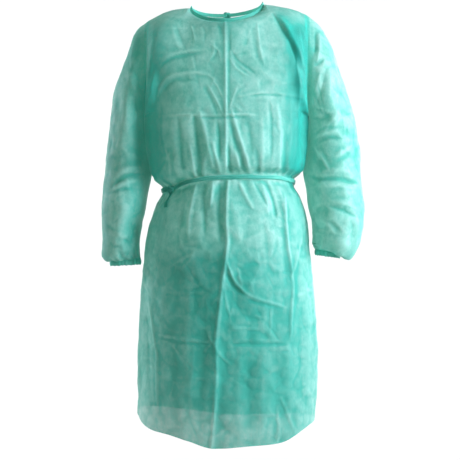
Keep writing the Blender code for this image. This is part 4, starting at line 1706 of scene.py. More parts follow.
@dataclass(frozen=True)
class Strip:
    """The section of a folded or bunched strip of cloth.

    It is a flattened oval, |cos| to a low power by |sin|, whose skin has lengthwise pleats: waves
    round the section whose places drift along the strip.

    Attributes:
        width, thick: Its size in metres.
        pleats: Waves round the section.
        depth: Depth of a pleat as a share of the thickness.
        square: Power of the oval, lower for squarer.
        wander: How far its width comes and goes, as a share.
        sides: Points round the section, an even number.
        swells, drifts: Pitch in metres and share of each wave of the width, and of the pleats' places.
        last_phase: Up to where a wave's phase is drawn.
        edge: How deep the pleats are at the edges, as a share.
        trough: How far the cloth shows as double cloth on the whole, and the swing of painted shade, more in
            a pleat's trough and less on its ridge.
    """

    width: float
    thick: float
    pleats: int
    depth: float
    square: float
    wander: float
    sides: int
    seed: int
    swells: tuple[Span, ...] = ((0.061, 0.40), (0.023, 0.25), (0.139, 0.35))
    drifts: tuple[Span, ...] = ((0.083, 0.9), (0.191, 0.9))
    last_phase: float = 6.0
    edge: float = 0.25
    trough: Span = (0.35, 0.5)

    def rings(self, path: Array, wide: Array, out: Array) -> tuple[Array, Array]:
        """The strip's rings along a path, and how deep each point lies in a pleat.

        Args:
            path: The strip's middle.
            wide: The direction of its width at each point.
            out: The direction of its thickness.

        Returns:
            The rings, and shares of double cloth with painted shade, from 0 on top to 1 in a trough.
        """
        run = lengths(path, 0)[:, None]
        draw = np.random.default_rng(self.seed)
        turn = circle(self.sides)[None, :]
        waves, drift = (
            sum(np.sin(run * 2 * math.pi / pitch + phase) * share
                for (pitch, share), phase in zip(each, draw.uniform(0, self.last_phase, len(each))))
            for each in (self.swells, self.drifts))
        pleat = np.cos(self.pleats * turn + drift * 2)
        swell = 1 + self.wander * waves
        across = squared(np.cos(turn), self.square) * self.width / 2 * swell
        over = squared(np.sin(turn), self.square) * self.thick / 2
        over = over * (1 + self.depth * pleat) * (2 - swell)
        across = across * (1 + self.edge * self.depth * pleat)
        made = path[:, None] + wide[:, None] * across[..., None] + out[:, None] * over[..., None]
        # Painted shade: the share is highest in the pleats' troughs, over a base of double cloth.
        middle, swing = self.trough
        return made, np.clip(middle - swing * pleat + 0 * across, 0, 1)


@dataclass
class Binding:
    """The folded strip over the neckline's cut edge, open at the nape, and its two hanging ends.

    An end's curl and twist are waves that grow down it. The twist is in radians, a start and a swing,
    and its wave has a turn over the whole end and a phase.
    """

    strip: Strip = Strip(0.0088, 0.0021, pleats=5, depth=0.10, square=0.35, wander=0.06, sides=32, seed=31)
    tie: Strip = Strip(0.0090, 0.0015, pleats=3, depth=0.16, square=0.35, wander=0.05, sides=24, seed=33)
    lean: float = 0.45
    seam_gap: float = 0.0002
    nape: float = 0.006
    knot_half: Triple = (0.0085, 0.0048, 0.0075)
    knot_clear: float = 0.0018
    tie_length: float = 0.170
    tie_start: float = 0.0049
    tie_spread: float = 0.0200
    tie_fall: float = 0.050
    tie_bend: float = 1.3
    tie_clear: float = 0.0042
    tie_seat: float = 0.75
    tie_steps: int = 110
    curl: float = 0.0016
    curl_turn: float = 9.0
    curl_across: float = 1.5
    twist: Span = (0.10, 0.30)
    twist_turn: Span = (5.0, 1.2)
    back_steps: int = 90
    front_steps: int = 260
    hang_steps: int = 400
    doubled_and_shaded: Span = (0.35, 0.4)

    def neckline(self) -> tuple[Array, Array]:
        """The neckline from the nape round the front to the nape, and the ways to its middle.

        Returns:
            Its points, and the level directions.
        """
        share, neck = FORM.neck_share, np.array((0, FORM.shoulder_line, 0))
        back = np.linspace(self.nape, share, self.back_steps)
        front = np.linspace(-share, share, self.front_steps)
        runs = ((Side.BACK, -back), (Side.FRONT, front[1:-1]), (Side.BACK, back[::-1]))
        path = np.concatenate([FORM.top_line(side, across) for side, across in runs])
        return path, unit((neck - path) * LEVEL)

    def build(self, wardrobe: "Wardrobe") -> list[bpy.types.Object]:
        """Make the binding, the nape's knot and the two ends, dressed.

        Args:
            wardrobe: Keeper of the finishes.

        Returns:
            The four pieces.
        """
        path, inward = self.neckline()
        rise, outward = unit(inward * self.lean + UP), unit(UP * self.lean - inward)
        foot = self.seam_gap + self.strip.thick * self.lean / 2
        middle = path + rise * (foot + self.strip.width / 2)
        rings, fold = self.strip.rings(middle, rise, outward)
        # Double cloth, with painted shade added in the pleat troughs.
        least, more = self.doubled_and_shaded
        made = [swept_piece("neck_binding", rings, {"seam": least + fold * more})]
        centre = middle[0] * np.array((0, 1, 1)) + outward[0] * (self.knot_clear + self.knot_half[1])
        knot = Knot(self.knot_half, np.array((0.0, 1.0, 0.0)), strand=0.0030, seed=7)
        made += [knot.build("neck_knot", centre), *(self.end(hand, centre) for hand in Hand)]
        return [wardrobe.dress(piece, FOLDED) for piece in made]

    def end(self, hand: Hand, centre: Array) -> bpy.types.Object:
        """One hanging end: it leaves the knot, swings in to the back and hangs down it, curling a little.

        Args:
            hand: Which end.
            centre: The knot's middle.

        Returns:
            The end, without its finish.
        """
        share = np.linspace(0, 1, self.tie_steps)
        height = centre[2] - self.knot_half[2] * self.tie_seat - share * self.tie_length
        drift = hand.value * (self.tie_start + self.tie_spread * share ** self.tie_bend)
        rows = np.linspace(0, 1, self.hang_steps)
        back = FORM.surface(Side.BACK, np.zeros_like(rows), rows)
        lie = np.interp(-height, -back[:, 2], back[:, 1]) + self.tie_clear
        lie = np.maximum(lie, centre[1] - self.tie_fall * share)
        curl = self.curl * np.sin(share * self.curl_turn + hand.value) * share
        path = np.stack([drift + curl * self.curl_across, lie + np.abs(curl), height], -1)
        (start, swing), (turn, phase) = self.twist, self.twist_turn
        twist = hand.value * (start + swing * np.sin(share * turn + phase * hand.value) * share)
        backward = unit(np.stack([np.sin(twist), np.cos(twist), 0 * twist], -1))
        wide = unit(np.cross(backward, np.gradient(path, axis=0)))
        rings, fold = self.tie.rings(path, wide, backward)
        # The share is double cloth with painted shade in the pleat troughs.
        return swept_piece(f"neck_tie_{hand.name.lower()}", rings, {"seam": fold})


@dataclass
class Knot:
    """A tight overhand knot of a bunched strip.

    The strip's middle runs on a closed trefoil, (sin t + 2 sin 2t, cos t - 2 cos 2t, -sin 3t), scaled
    to the knot's size, and its pleated round section is carried along it.
    """

    half: Triple
    facing: Array
    strand: float
    seed: int
    inset: Triple = (0.85, 0.85, 0.6)
    flat: float = 0.72
    pleats: int = 6
    pleat_depth: float = 0.09
    bunching: float = 0.08
    trough: Span = (0.4, 0.5)
    steps: int = 168
    sides: int = 26

    def build(self, name: str, centre: Array) -> bpy.types.Object:
        """Make the knot about its middle.

        Args:
            name: The solid's name.
            centre: The knot's middle.

        Returns:
            The knot, without its finish.
        """
        t = circle(self.steps)
        bend = np.stack([np.sin(t) + 2 * np.sin(2 * t), np.cos(t) - 2 * np.cos(2 * t), -np.sin(3 * t)], -1)
        wide, deep, high = self.half
        room = np.array((wide, high, deep)) - self.strand * np.array(self.inset)
        middle = bend / np.abs(bend).max(axis=0) * room
        way = unit(np.roll(middle, -1, axis=0) - np.roll(middle, 1, axis=0))
        out = unit(UP - way * way[:, 2:])
        aside = np.cross(way, out)
        around = circle(self.sides)[None, :]
        pleat = np.cos(self.pleats * around + 2 * np.sin(3 * t + self.seed)[:, None])
        bunch = self.bunching * np.sin(5 * t + self.seed)[:, None]
        radius = self.strand * (1 + self.pleat_depth * pleat + bunch)
        rings = (middle[:, None] + aside[:, None] * (radius * np.cos(around))[..., None]
                 + out[:, None] * (radius * self.flat * np.sin(around))[..., None])
        right = np.cross(self.facing, UP)
        placed = rings[..., :1] * right + rings[..., 1:2] * UP + rings[..., 2:] * self.facing + centre
        # The share is double cloth with painted shade in the pleat troughs.
        middle, swing = self.trough
        return swept_piece(name, placed, {"seam": np.clip(middle - swing * pleat, 0, 1)}, loop=True)


@dataclass
class Belt:
    """The narrow bunched strip round the waist, its knot at the front of the right side, and its end.

    Its sway and shiver up and down and its tilt are waves along it, each with a size, a rate for each
    metre, and a phase.
    """

    strip: Strip = Strip(0.0094, 0.0033, pleats=7, depth=0.20, square=0.55, wander=0.16, sides=40, seed=41)
    tail: Strip = Strip(0.0100, 0.0017, pleats=4, depth=0.20, square=0.45, wander=0.08, sides=24, seed=43)
    clear: float = 0.0006
    half: Span = (0.168, 0.113)
    knot_angle: float = -52.5
    knot_gap: float = 3.6
    knot_half: Triple = (0.0100, 0.0048, 0.0095)
    knot_clear: float = 0.0008
    tail_length: float = 0.034
    tail_sink: float = 0.003
    tail_clear: float = 0.0042
    tail_seat: float = 0.7
    tail_lead: float = 1.4
    tail_aside: float = 0.004
    tail_twist: Span = (0.35, 4.0)
    tail_steps: int = 60
    doubled_and_shaded: Span = (0.45, 0.5)
    steps: int = 620
    sway: Triple = (0.0010, 31.0, 0.0)
    shiver: Triple = (0.0007, 74.0, 1.0)
    tilt: Triple = (0.25, 17.0, 0.6)

    @staticmethod
    def row(height: float | Array) -> float | Array:
        """Row of the form at a height under the arms, before the belt's route moves it."""
        return 1 + (height - FORM.underarm) / (FORM.hem - FORM.underarm)

    def line(self, around: Array) -> tuple[Array, Array]:
        """Path of the belt's inner face and its outward directions, at degrees from the centre front.

        Args:
            around: The degrees.

        Returns:
            The points, and the directions.
        """
        front = np.abs(around) <= 90
        across = np.where(front, around / 90, np.sign(around) * (180 - np.abs(around)) / 90)
        row = np.full_like(across, self.row(FORM.waist))
        sides = [FORM.surface(side, across, row) for side in (Side.FRONT, Side.BACK)]
        here = np.where(front[:, None], *sides)
        outward = unit(here * np.array((self.half[0] ** -2, self.half[1] ** -2, 0)))
        return here + outward * self.clear, outward

    def build(self, wardrobe: "Wardrobe") -> list[bpy.types.Object]:
        """Make the belt, its knot and its hanging end, dressed.

        Args:
            wardrobe: Keeper of the finishes.

        Returns:
            The three pieces.
        """
        around = self.knot_angle + np.linspace(self.knot_gap, 360 - self.knot_gap, self.steps)
        around = np.where(around > 180, around - 360, around)
        path, outward = self.line(around)
        run = lengths(path, 0)
        sway, shiver, tilt = (size * np.sin(run * rate + phase) for size, rate, phase
                              in (self.sway, self.shiver, self.tilt))
        sway = sway + shiver
        path = path + outward * self.strip.thick / 2 + UP * sway[:, None]
        tilt = tilt[:, None]
        up = unit(UP + outward * tilt)
        rings, fold = self.strip.rings(path, up, unit(outward - up * tilt))
        # The share is double cloth with painted shade in the pleat troughs.
        made = [swept_piece("belt", rings, {"seam": fold})]
        seat, facing = self.line(np.array([self.knot_angle]))
        centre = seat[0] + facing[0] * (self.knot_half[1] + self.knot_clear)
        knot = Knot(self.knot_half, facing[0], strand=0.0036, seed=3)
        made += [knot.build("belt_knot", centre), self.end(centre, facing[0])]
        return [wardrobe.dress(piece, FOLDED) for piece in made]

    def end(self, centre: Array, facing: Array) -> bpy.types.Object:
        """The short end that hangs from the knot on the skirt.

        Args:
            centre: The knot's middle.
            facing: Outward at the knot.

        Returns:
            The end, without its finish.
        """
        share = np.linspace(0, 1, self.tail_steps)
        top = centre[2] - self.knot_half[2] * self.tail_seat
        height = top - share * (self.tail_length + self.tail_sink)
        skirt = FORM.surface(Side.FRONT, np.full_like(share, self.knot_angle / 90), self.row(height))
        skirt = skirt + facing * self.tail_clear
        start = centre + 0 * skirt
        path = start + (skirt - start) * soft_step(share * self.tail_lead)[:, None]
        path[:, 2] = height
        path[:, 0] += self.tail_aside * share ** 2
        swing, turn = self.tail_twist
        twist = swing * np.sin(share * turn)
        side = np.cross(facing, UP)
        out = unit(facing * np.cos(twist)[:, None] + side * np.sin(twist)[:, None])
        wide = unit(np.cross(out, np.gradient(path, axis=0)))
        rings, fold = self.tail.rings(path, wide, out)
        # Double cloth, with painted shade added in the pleat troughs.
        least, more = self.doubled_and_shaded
        return swept_piece("belt_tail", rings, {"seam": least + fold * more})


# --- the studio
@dataclass(frozen=True)
class Lamp:
    """One soft square light, turned to face a point, its beam so many degrees wide."""

    name: str
    place: Triple
    aim: Triple
    size: float
    power: float
    spread: float = 180.0
    colour: Triple = (0.78, 0.91, 1.0)

    def build(self) -> None:
        """Hang the light."""
        lamp = bpy.data.lights.new(self.name, "AREA")
        lamp.size, lamp.energy, lamp.color = self.size, self.power, self.colour
        lamp.spread = math.radians(self.spread)
        made = bpy.data.objects.new(self.name, lamp)
        made.location = self.place
        way = Vector(self.aim) - Vector(self.place)
        made.rotation_euler = way.to_track_quat("-Z", "Y").to_euler()
        bpy.context.scene.collection.objects.link(made)


LAMPS = (
    Lamp("key", (2.05, -0.76, 0.12), (0.16, 0.0, -0.31), 1.5, 19.5, 52.0),
    Lamp("rim", (2.6, 2.2, 0.5), (0.05, 0.0, -0.45), 1.8, 60.0),
    Lamp("edge", (-2.6, 1.2, 0.3), (-0.25, 0.0, -0.40), 1.4, 44.0),
    Lamp("wall_left", (-3.2, 1.4, 0.6), (-2.2, 4.2, -0.2), 1.6, 150.0, colour=(1.0, 1.0, 1.0)),
    Lamp("wall_right", (3.2, 1.4, 0.6), (2.2, 4.2, -0.2), 1.6, 150.0, colour=(1.0, 1.0, 1.0)),
)


@dataclass(frozen=True)
class Studio:
    """A pale floor that curves up into a backdrop, soft lights and the camera.

    Lights and the gown see the floor's paint. The camera sees an even glow for most of it.
    """

    floor: float = -1.47
    half: float = 6.0
    back: float = 3.0
    curve: float = 1.2
    grey: float = 0.86
    eye: Triple = (0.0075, -2.8, -0.555)
    lens: float = 87.65
    ambient: float = 0.160
    ambient_tint: Colour = tint(0.84, 1.0, 0.83)
    white: Colour = tint(1.0, 1.0, 1.0)
    curve_steps: int = 17
    columns: int = 5
    grain: float = 0.01
    grain_scale: float = 3.0
    rough: float = 0.9
    shine: float = 0.97
    shown: float = 0.8
    sensor: float = 36.0
    bounces: int = 24

    def build(self) -> None:
        """Make the floor, the lights, the world and the camera."""
        self.sweep()
        for lamp in LAMPS:
            lamp.build()
        scene = bpy.context.scene
        scene.world = self.surround()
        scene.view_settings.view_transform = "Standard"
        scene.cycles.transparent_max_bounces = self.bounces
        self.camera()

    def surround(self) -> bpy.types.World:
        """The world: white to look at, and a weaker even light on the gown.

        Returns:
            The world.
        """
        world = bpy.data.worlds.new("studio")
        world.use_nodes = True
        nodes, links = world.node_tree.nodes, world.node_tree.links
        nodes.clear()
        kinds = ("LightPath", "MixShader", "OutputWorld")
        seen, mixed, out = (nodes.new(f"ShaderNode{kind}") for kind in kinds)
        links.new(seen.outputs["Is Camera Ray"], mixed.inputs[0])
        for place, colour, strength in ((1, self.ambient_tint, self.ambient), (2, self.white, 1.0)):
            shine = nodes.new("ShaderNodeBackground")
            shine.inputs["Color"].default_value = colour
            shine.inputs["Strength"].default_value = strength
            links.new(shine.outputs["Background"], mixed.inputs[place])
        links.new(mixed.outputs["Shader"], out.inputs["Surface"])
        return world

    def sweep(self) -> None:
        """The floor and backdrop: level, then a quarter turn, then upright."""
        turn = np.linspace(0, math.pi / 2, self.curve_steps)
        top = self.back + self.curve
        y = np.concatenate([[-self.half], self.back + self.curve * np.sin(turn), [top]])
        z = np.concatenate([[0.0], self.curve * (1 - np.cos(turn)), [self.half]]) + self.floor
        x = np.linspace(-self.half, self.half, self.columns)
        grid = np.stack(np.broadcast_arrays(x, y[:, None], z[:, None]), -1)
        mesh = bpy.data.meshes.new("floor")
        mesh.from_pydata(grid.reshape(-1, 3).tolist(), [], grid_faces(len(y), len(x))[:, ::-1].tolist())
        mesh.shade_smooth()
        floor = bpy.data.objects.new("floor", mesh)
        bpy.context.scene.collection.objects.link(floor)
        shade = Shade("pale_floor")
        grain = shade.noise(shade.node("TexCoord", out="Object"), self.grain_scale)
        tone = shade.blend(grain, *(tint(*[grey] * 3) for grey in (self.grey, self.grey - self.grain)))
        paint = shade.node("BsdfPrincipled", {"Base Color": tone, "Roughness": self.rough})
        glow = shade.node("Emission", {"Color": self.white, "Strength": self.shine})
        seen = shade.node("LightPath", out="Is Camera Ray") * self.shown
        mesh.materials.append(shade.finish(shade.node("MixShader", {0: seen, 1: paint, 2: glow})))

    def camera(self) -> None:
        """The camera, level, looking along +Y."""
        lens = bpy.data.cameras.new("camera")
        lens.lens, lens.sensor_width = self.lens, self.sensor
        made = bpy.data.objects.new("camera", lens)
        made.location = self.eye
        made.rotation_euler = (math.pi / 2, 0.0, 0.0)
        bpy.context.scene.collection.objects.link(made)
        bpy.context.scene.camera = made


# --- the folds
FRONT_FOLDS = laid("""
    height width crisp fade lean | x z of each point
    the crease down the middle, pressed in when the gown lay folded, and the roof that it makes
    1.7 4.4 .75 .1 | -4 -58  -3 -236  -2 -389
    -.8 4.6 .5 .3 | 6 -63  5 -153  4 -276
    2.6 34 1 .3 | -2 -129  -2 -271  0 -408
    7.5 46 1 .22 | 3 -446  0 -579  -11 -697  -23 -827  -30 -981
    2.3 5.2 .7 .1 | 3 -439  -1 -484  -2 -536  2 -583
    2.6 5.2 .75 .05 | 2 -579  -4 -631  -11 -685  -20 -763  -26 -827  -24 -891  -28 -962  -37 -1073
    drape from the right shoulder across the chest
    -1.1 4 .6 .25 | -163 -174  -151 -155  -132 -142  -104 -135  -63 -131
    1.2 4.8 .5 .3 | -158 -153  -139 -137  -111 -129  -59 -124
    1.4 3.8 .7 .2 | -168 -240  -158 -210  -142 -189  -116 -181  -59 -179
    -1.4 7.5 .3 .3 | -153 -228  -139 -205  -111 -195  -78 -198
    -.7 9 .2 .4 | -163 -158  -165 -200  -170 -257
    .5 8 .2 .4 | -165 -72  -175 -115  -179 -158
    .7 6 .4 .3 | -134 -58  -127 -87  -113 -120
    -.9 6 .4 .3 | -123 -58  -113 -91  -97 -124
    1 3.6 .8 .3 | -87 -58  -80 -82  -75 -103
    -.8 4 .5 .3 | -61 -63  -52 -82  -54 -105
    -.9 4 .5 .3 | -23 -58  -16 -75  -14 -91
    -1 7 .3 .3 | 48 -75  48 -96  41 -113
    drape from the left shoulder, the deep one that leads into the side
    -4.3 9.5 .5 .3 .3 | 112 -27  133 -68  154 -108  168 -153
    -1.8 5 .4 .25 | 180 -68  187 -115  190 -167
    2.8 9 .4 .3 | 131 -39  152 -77  171 -115  183 -153
    1.1 4 .7 .25 | 74 -58  78 -110  90 -158
    -.9 7 .3 .3 | 62 -72  67 -110  76 -148
    -1.3 4 .7 .25 | 10 -122  22 -146  41 -162  69 -181
    1 4.4 .5 .3 | 5 -141  22 -167  48 -186
    -.9 3.5 .6 .3 | 17 -155  34 -172  55 -184
    1.5 5 .6 .2 | 168 -141  172 -224  171 -318  166 -389
    -3.2 14 .15 .3 | 185 -158  187 -247  186 -330  178 -401
    small wrinkles beside the crease
    1.2 3.3 .8 .25 | -47 -207  -30 -236  -11 -276
    -1 4.2 .5 .3 | -54 -214  -37 -247  -21 -285
    1.1 3.2 .8 .3 | -33 -198  -19 -219  -9 -243
    1 3.3 .7 .3 | -71 -181  -49 -184  -30 -198
    .9 3.1 .7 .3 | -30 -105  -33 -134  -49 -158
    .9 3.1 .7 .3 | -40 -110  -19 -129  -14 -153
    -.8 4 .5 .3 | -42 -153  -30 -139  -19 -120
    1 3.3 .7 .3 | 26 -210  15 -240  3 -276
    -.9 4.2 .5 .3 | 22 -231  34 -219  48 -210
    the packet's folds across the chest
    -1.7 3.2 .9 .15 | -59 -288  -2 -289  41 -286
    1.3 3.8 .7 .25 | -7 -281  38 -280  71 -282
    .8 3.8 .5 .3 | -163 -282  -111 -281  -54 -282
    -1.6 3.2 .9 .2 | 57 -236  88 -232  126 -233
    .9 4.2 .6 .3 | 22 -239  60 -232  97 -227
    1 4 .6 .3 | 123 -227  149 -232  183 -237
    .8 3.6 .6 .3 | 126 -205  149 -202  180 -204
    -1.4 14 .1 .4 | 76 -214  93 -205  109 -200
    the cloth over the belt, falling to it in long wedges
    2.8 9 .35 .25 | -68 -266  -56 -304  -45 -356  -33 -404
    -3.3 9 .3 .2 | -80 -281  -73 -337  -66 -389  -63 -439
    2.1 5.2 .6 .3 | -90 -349  -82 -389  -75 -434
    2 6.2 .4 .3 | -37 -337  -26 -378  -14 -423
    -2.4 6.2 .3 .3 | -23 -299  -19 -347  -19 -389
    -3.4 6.5 .4 .25 | 2 -356  5 -399  10 -437
    2.9 7 .45 .2 | 12 -271  26 -323  43 -375  60 -434
    -2 6 .4 .25 | 8 -299  17 -342  31 -385  48 -430
    1.9 6 .4 .3 | 22 -366  29 -401  34 -437
    -1.7 9 .2 .35 | 48 -295  55 -330  60 -375
    1.8 10 .2 .3 | 83 -285  86 -354  83 -423
    -1.5 7 .3 .3 | 69 -361  74 -401  76 -437
    -1.4 5.6 .5 .3 | 100 -247  107 -314  105 -389
    1.7 7.5 .3 .3 | 121 -266  128 -342  126 -423
    -2 8 .3 .3 | 138 -323  140 -378  135 -432
    1.7 9 .3 .3 | 152 -238  154 -318  147 -394
    1.7 5 .5 .3 | -149 -363  -139 -389  -137 -423
    -1.9 6.5 .4 .3 | -144 -385  -160 -408  -179 -430
    1.5 5 .5 .3 | -139 -373  -153 -404  -170 -430
    -1.7 9 .2 .3 | -116 -290  -111 -354  -101 -425
    1.4 9 .2 .3 | -132 -302  -125 -366  -116 -432
    -1.7 7.5 .3 .3 | -158 -262  -160 -318  -151 -366
    the skirt under the belt
    2.9 7.5 .45 .2 | -73 -446  -85 -496  -92 -536  -90 -574
    -2.2 9 .2 .3 | -101 -458  -106 -508  -111 -555
    -2.6 9 .25 .25 | -54 -449  -56 -496  -52 -560
    2.6 5.2 .5 .3 | -33 -439  -35 -465  -40 -498
    -2.6 8.5 .25 .2 | -19 -444  -19 -498  -16 -574
    1.8 12 .2 .35 | 12 -484  24 -536  31 -583
    2.7 7 .4 .3 | 29 -437  41 -465  62 -503
    -1.8 4.6 .6 .3 | 62 -434  76 -460  97 -498
    -3.6 6.2 .5 .2 | 95 -437  105 -465  114 -493  119 -524
    2.3 8 .4 .3 | 83 -441  93 -475  100 -517
    2.6 6.5 .4 .3 | 121 -444  133 -475  138 -508
    3.4 4.8 .75 .1 | 140 -470  142 -527  147 -590  154 -645  158 -697  154 -749  152 -811
    2.8 4.8 .7 .25 | 183 -574  171 -612  159 -654
    -2.8 8.5 .3 .3 | 171 -631  171 -687  166 -740
    -2 9 .3 .3 | 133 -543  138 -614  142 -692
    -1.4 9 .2 .35 | 83 -522  93 -579  97 -631
    1.8 8 .4 .3 | -130 -458  -137 -496  -144 -541
    -1.8 9 .3 .3 | -151 -475  -160 -517  -168 -569
    wrinkles that run out from the crease over the thigh
    1.9 3.4 .8 .2 | 0 -626  12 -664  31 -692  48 -709
    1.5 3.1 .8 .25 | 5 -645  19 -680  38 -699
    -1.9 4.8 .6 .25 | -2 -654  10 -685  34 -706
    1.7 3.3 .75 .2 | 26 -673  34 -692  48 -706  71 -718  105 -728  142 -740
    -1.3 4.2 .6 .3 | 45 -718  74 -729  109 -737
    1.2 3.1 .7 .3 | 26 -645  31 -671  38 -692
    1.3 3.2 .7 .3 | -9 -683  -2 -721  8 -763
    the packet's folds across the skirt, and the foot where they cross
    1.5 3.2 .9 .2 | 10 -786  43 -787  76 -790
    -1.8 4.8 .7 .15 | 17 -825  69 -827  135 -828
    1.1 3.8 .5 .3 | 22 -813  69 -815  128 -818
    1.6 3.3 .9 .15 | -160 -807  -106 -813  -49 -819
    -1 4.2 .5 .25 | -158 -815  -106 -821  -54 -827
    1.7 3.3 .8 .3 | -59 -820  -40 -818  -21 -822
    1.5 3.1 .8 .3 | -45 -799  -35 -818  -21 -839
    1.4 3.1 .8 .3 | -49 -839  -35 -822  -14 -806
    1.5 3.3 .8 .3 | -28 -832  -14 -851  8 -872
    -1.4 5.2 .5 .3 | -37 -832  -45 -844  -56 -855
    1.3 3.1 .8 .3 | 105 -737  105 -773  101 -808
    1 4.2 .5 .3 | -158 -702  -106 -706  -49 -702
    1.1 3.4 .7 .3 | -149 -652  -120 -633  -82 -612
    1 3.4 .6 .3 | -111 -652  -92 -631  -73 -602
    1 3.2 .7 .3 | -49 -718  -45 -749  -49 -775
    1 3.6 .6 .3 | -120 -905  -87 -903  -47 -908
    long folds of the skirt
    2.4 5.2 .6 .15 | -191 -721  -177 -803  -166 -867  -165 -971
    -2.2 9 .3 .25 | -198 -749  -191 -827  -184 -938
    1.7 4.2 .6 .3 | 128 -950  145 -995  164 -1045
    1.4 4.2 .6 .3 | 119 -976  123 -1016  121 -1061
    -2.4 18 .2 .15 | -116 -621  -125 -756  -125 -886  -118 -1028
    1.9 16 .25 .3 | -87 -685  -92 -792  -87 -957
    2 15 .25 .2 | -144 -645  -153 -780  -149 -922  -139 -1016
    -1.9 15 .25 .3 | -52 -792  -61 -922  -68 -1052
    -1.9 16 .25 .25 | 8 -702  -2 -815  -14 -922  -19 -1052
    1.7 14 .25 .3 | 31 -839  26 -945  31 -1052
    -2 17 .25 .3 | 55 -768  50 -886  55 -1052
    1.9 15 .25 .3 | 83 -827  83 -945  88 -1052
    -2.4 17 .25 .25 | 116 -792  116 -898  114 -1040
    2.2 14 .3 .25 | 145 -827  147 -910  152 -1005
    -2.6 13 .25 .25 | 173 -763  178 -839  180 -945
    2 11 .35 .3 | 192 -721  197 -827  194 -945
""")

# folds beside the side seams, by distance along the cloth from the seam and by height
SIDE_FLUTES = laid("""
    height width crisp fade | x z of each point
    10 17 .2 .16 | 44 -190  44 -300  46 -370  50 -425
    10 17 .2 .16 | -44 -190  -44 -300  -46 -370  -50 -430
    4 14 .2 .2 | 40 -520  44 -700  42 -960
    4 14 .2 .2 | -38 -520  -42 -720  -40 -980
""")

# bands of painted shade beside the armholes and side seams, in the colour of cloth that lies double; a
# millimetre here is the whole of it
SIDE_SHADE_BANDS = laid("""
    height width crisp fade | x z of each point
    1.2 15 .2 .2 | 118 -18  142 -52  164 -100  182 -170
    1.3 20 .1 .12 | 188 -70  189 -150  188 -260  185 -360  178 -440
    .8 6 .2 .2 | -172 -62  -180 -110  -182 -170
    1 17 .1 .2 | -176 -150  -184 -210  -184 -280  -180 -350  -170 -450
""")

BACK_FOLDS = laid("""
    height width crisp fade | x z of each point
    2.7 10.5 .5 .15 | -96 -60  -104 -160  -96 -280  -90 -400
    -2.9 15 .25 .15 | -120 -70  -128 -180  -120 -300  -112 -420
    2.6 12 .5 .15 | 92 -50  108 -160  100 -290  92 -400
    -3 15 .25 .15 | 118 -60  132 -180  124 -310  112 -424
    -3.1 10.5 .5 .38 | -150 -90  -150 -160  -156 -240
    2.9 10.5 .5 .38 | -168 -110  -170 -200  -168 -300  -160 -390
    -5 15 .2 .38 | -184 -180  -184 -270  -180 -370
    2.9 10.5 .5 .38 | 164 -100  168 -200  166 -310  160 -390
    -5 15 .2 .38 | 184 -170  185 -270  181 -370
    -3.1 9 .5 .38 | 132 -30  146 -70  160 -120
    -2.6 9 .5 .38 | -126 -46  -142 -84  -156 -130
    1.4 4.8 .8 .12 | -160 -236  -60 -232  40 -238
    -1.2 4.8 .7 .38 | 70 -240  120 -238  165 -242
    1.9 12 .35 .38 | 30 -120  34 -220  30 -340  36 -410
    -1.9 12 .3 .38 | -40 -130  -46 -240  -42 -350
    -1.6 10.5 .35 .38 | 62 -110  66 -220  60 -330
    -2.9 9 .5 .38 | -70 -352  -66 -394  -62 -436
    2.7 9 .5 .38 | -44 -350  -44 -396  -40 -438
    -2.7 9 .5 .38 | -16 -362  -18 -402  -12 -440
    3 10.5 .5 .38 | 14 -356  12 -400  10 -440
    -2.7 10.5 .5 .38 | 52 -350  50 -396  48 -438
    2.9 10.5 .5 .38 | 78 -352  76 -396  74 -436
    2.6 10.5 .5 .38 | -100 -360  -98 -400  -96 -440
    -2.5 10.5 .5 .38 | 108 -356  104 -396  104 -434
    -3.2 10.5 .5 .38 | -104 -462  -112 -510  -122 -570
    3.2 10.5 .5 .38 | -82 -460  -90 -520  -98 -600
    -3.5 10.5 .5 .38 | -54 -458  -56 -510  -62 -580
    3.2 10.5 .5 .38 | -28 -458  -30 -520  -36 -610
    -2.9 9 .5 .38 | -4 -458  -2 -500  -6 -560
    3.3 12 .5 .38 | 24 -458  30 -520  34 -610
    -3.3 10.5 .5 .38 | 54 -456  62 -510  70 -590
    3.1 10.5 .5 .38 | 84 -456  94 -514  102 -600
    -3.1 12 .35 .38 | 112 -454  126 -510  134 -590
    3.1 18 .3 .12 | -150 -560  -158 -700  -160 -860  -156 -1030
    -3.7 19.5 .2 .12 | -124 -600  -128 -740  -126 -900  -122 -1050
    4.1 18 .3 .12 | -94 -620  -98 -760  -96 -900  -92 -1050
    -3.3 18 .2 .12 | 60 -620  64 -760  62 -900  60 -1050
    4.1 19.5 .3 .12 | 100 -600  108 -740  108 -900  104 -1050
    -3.5 18 .2 .12 | 138 -590  148 -740  150 -900  148 -1040
    2.9 15 .35 .15 | 176 -620  186 -760  188 -900  184 -1020
    -2.9 15 .25 .15 | -184 -620  -192 -760  -192 -900  -188 -1020
    2.2 15 .3 .38 | -52 -680  -54 -800  -50 -960
    2.1 13.5 .35 .38 | 24 -700  26 -840  22 -1000
    -2.1 13.5 .25 .38 | -6 -690  -8 -820  -12 -960
    1.5 3.8 .9 .12 | -170 -806  -90 -812  -10 -808
    1.4 3.8 .9 .15 | 40 -804  110 -810  180 -806
    1.4 4.1 .7 .38 | -130 -660  -90 -690  -60 -700
    1.4 4.1 .7 .38 | 90 -690  130 -712  160 -706
""")

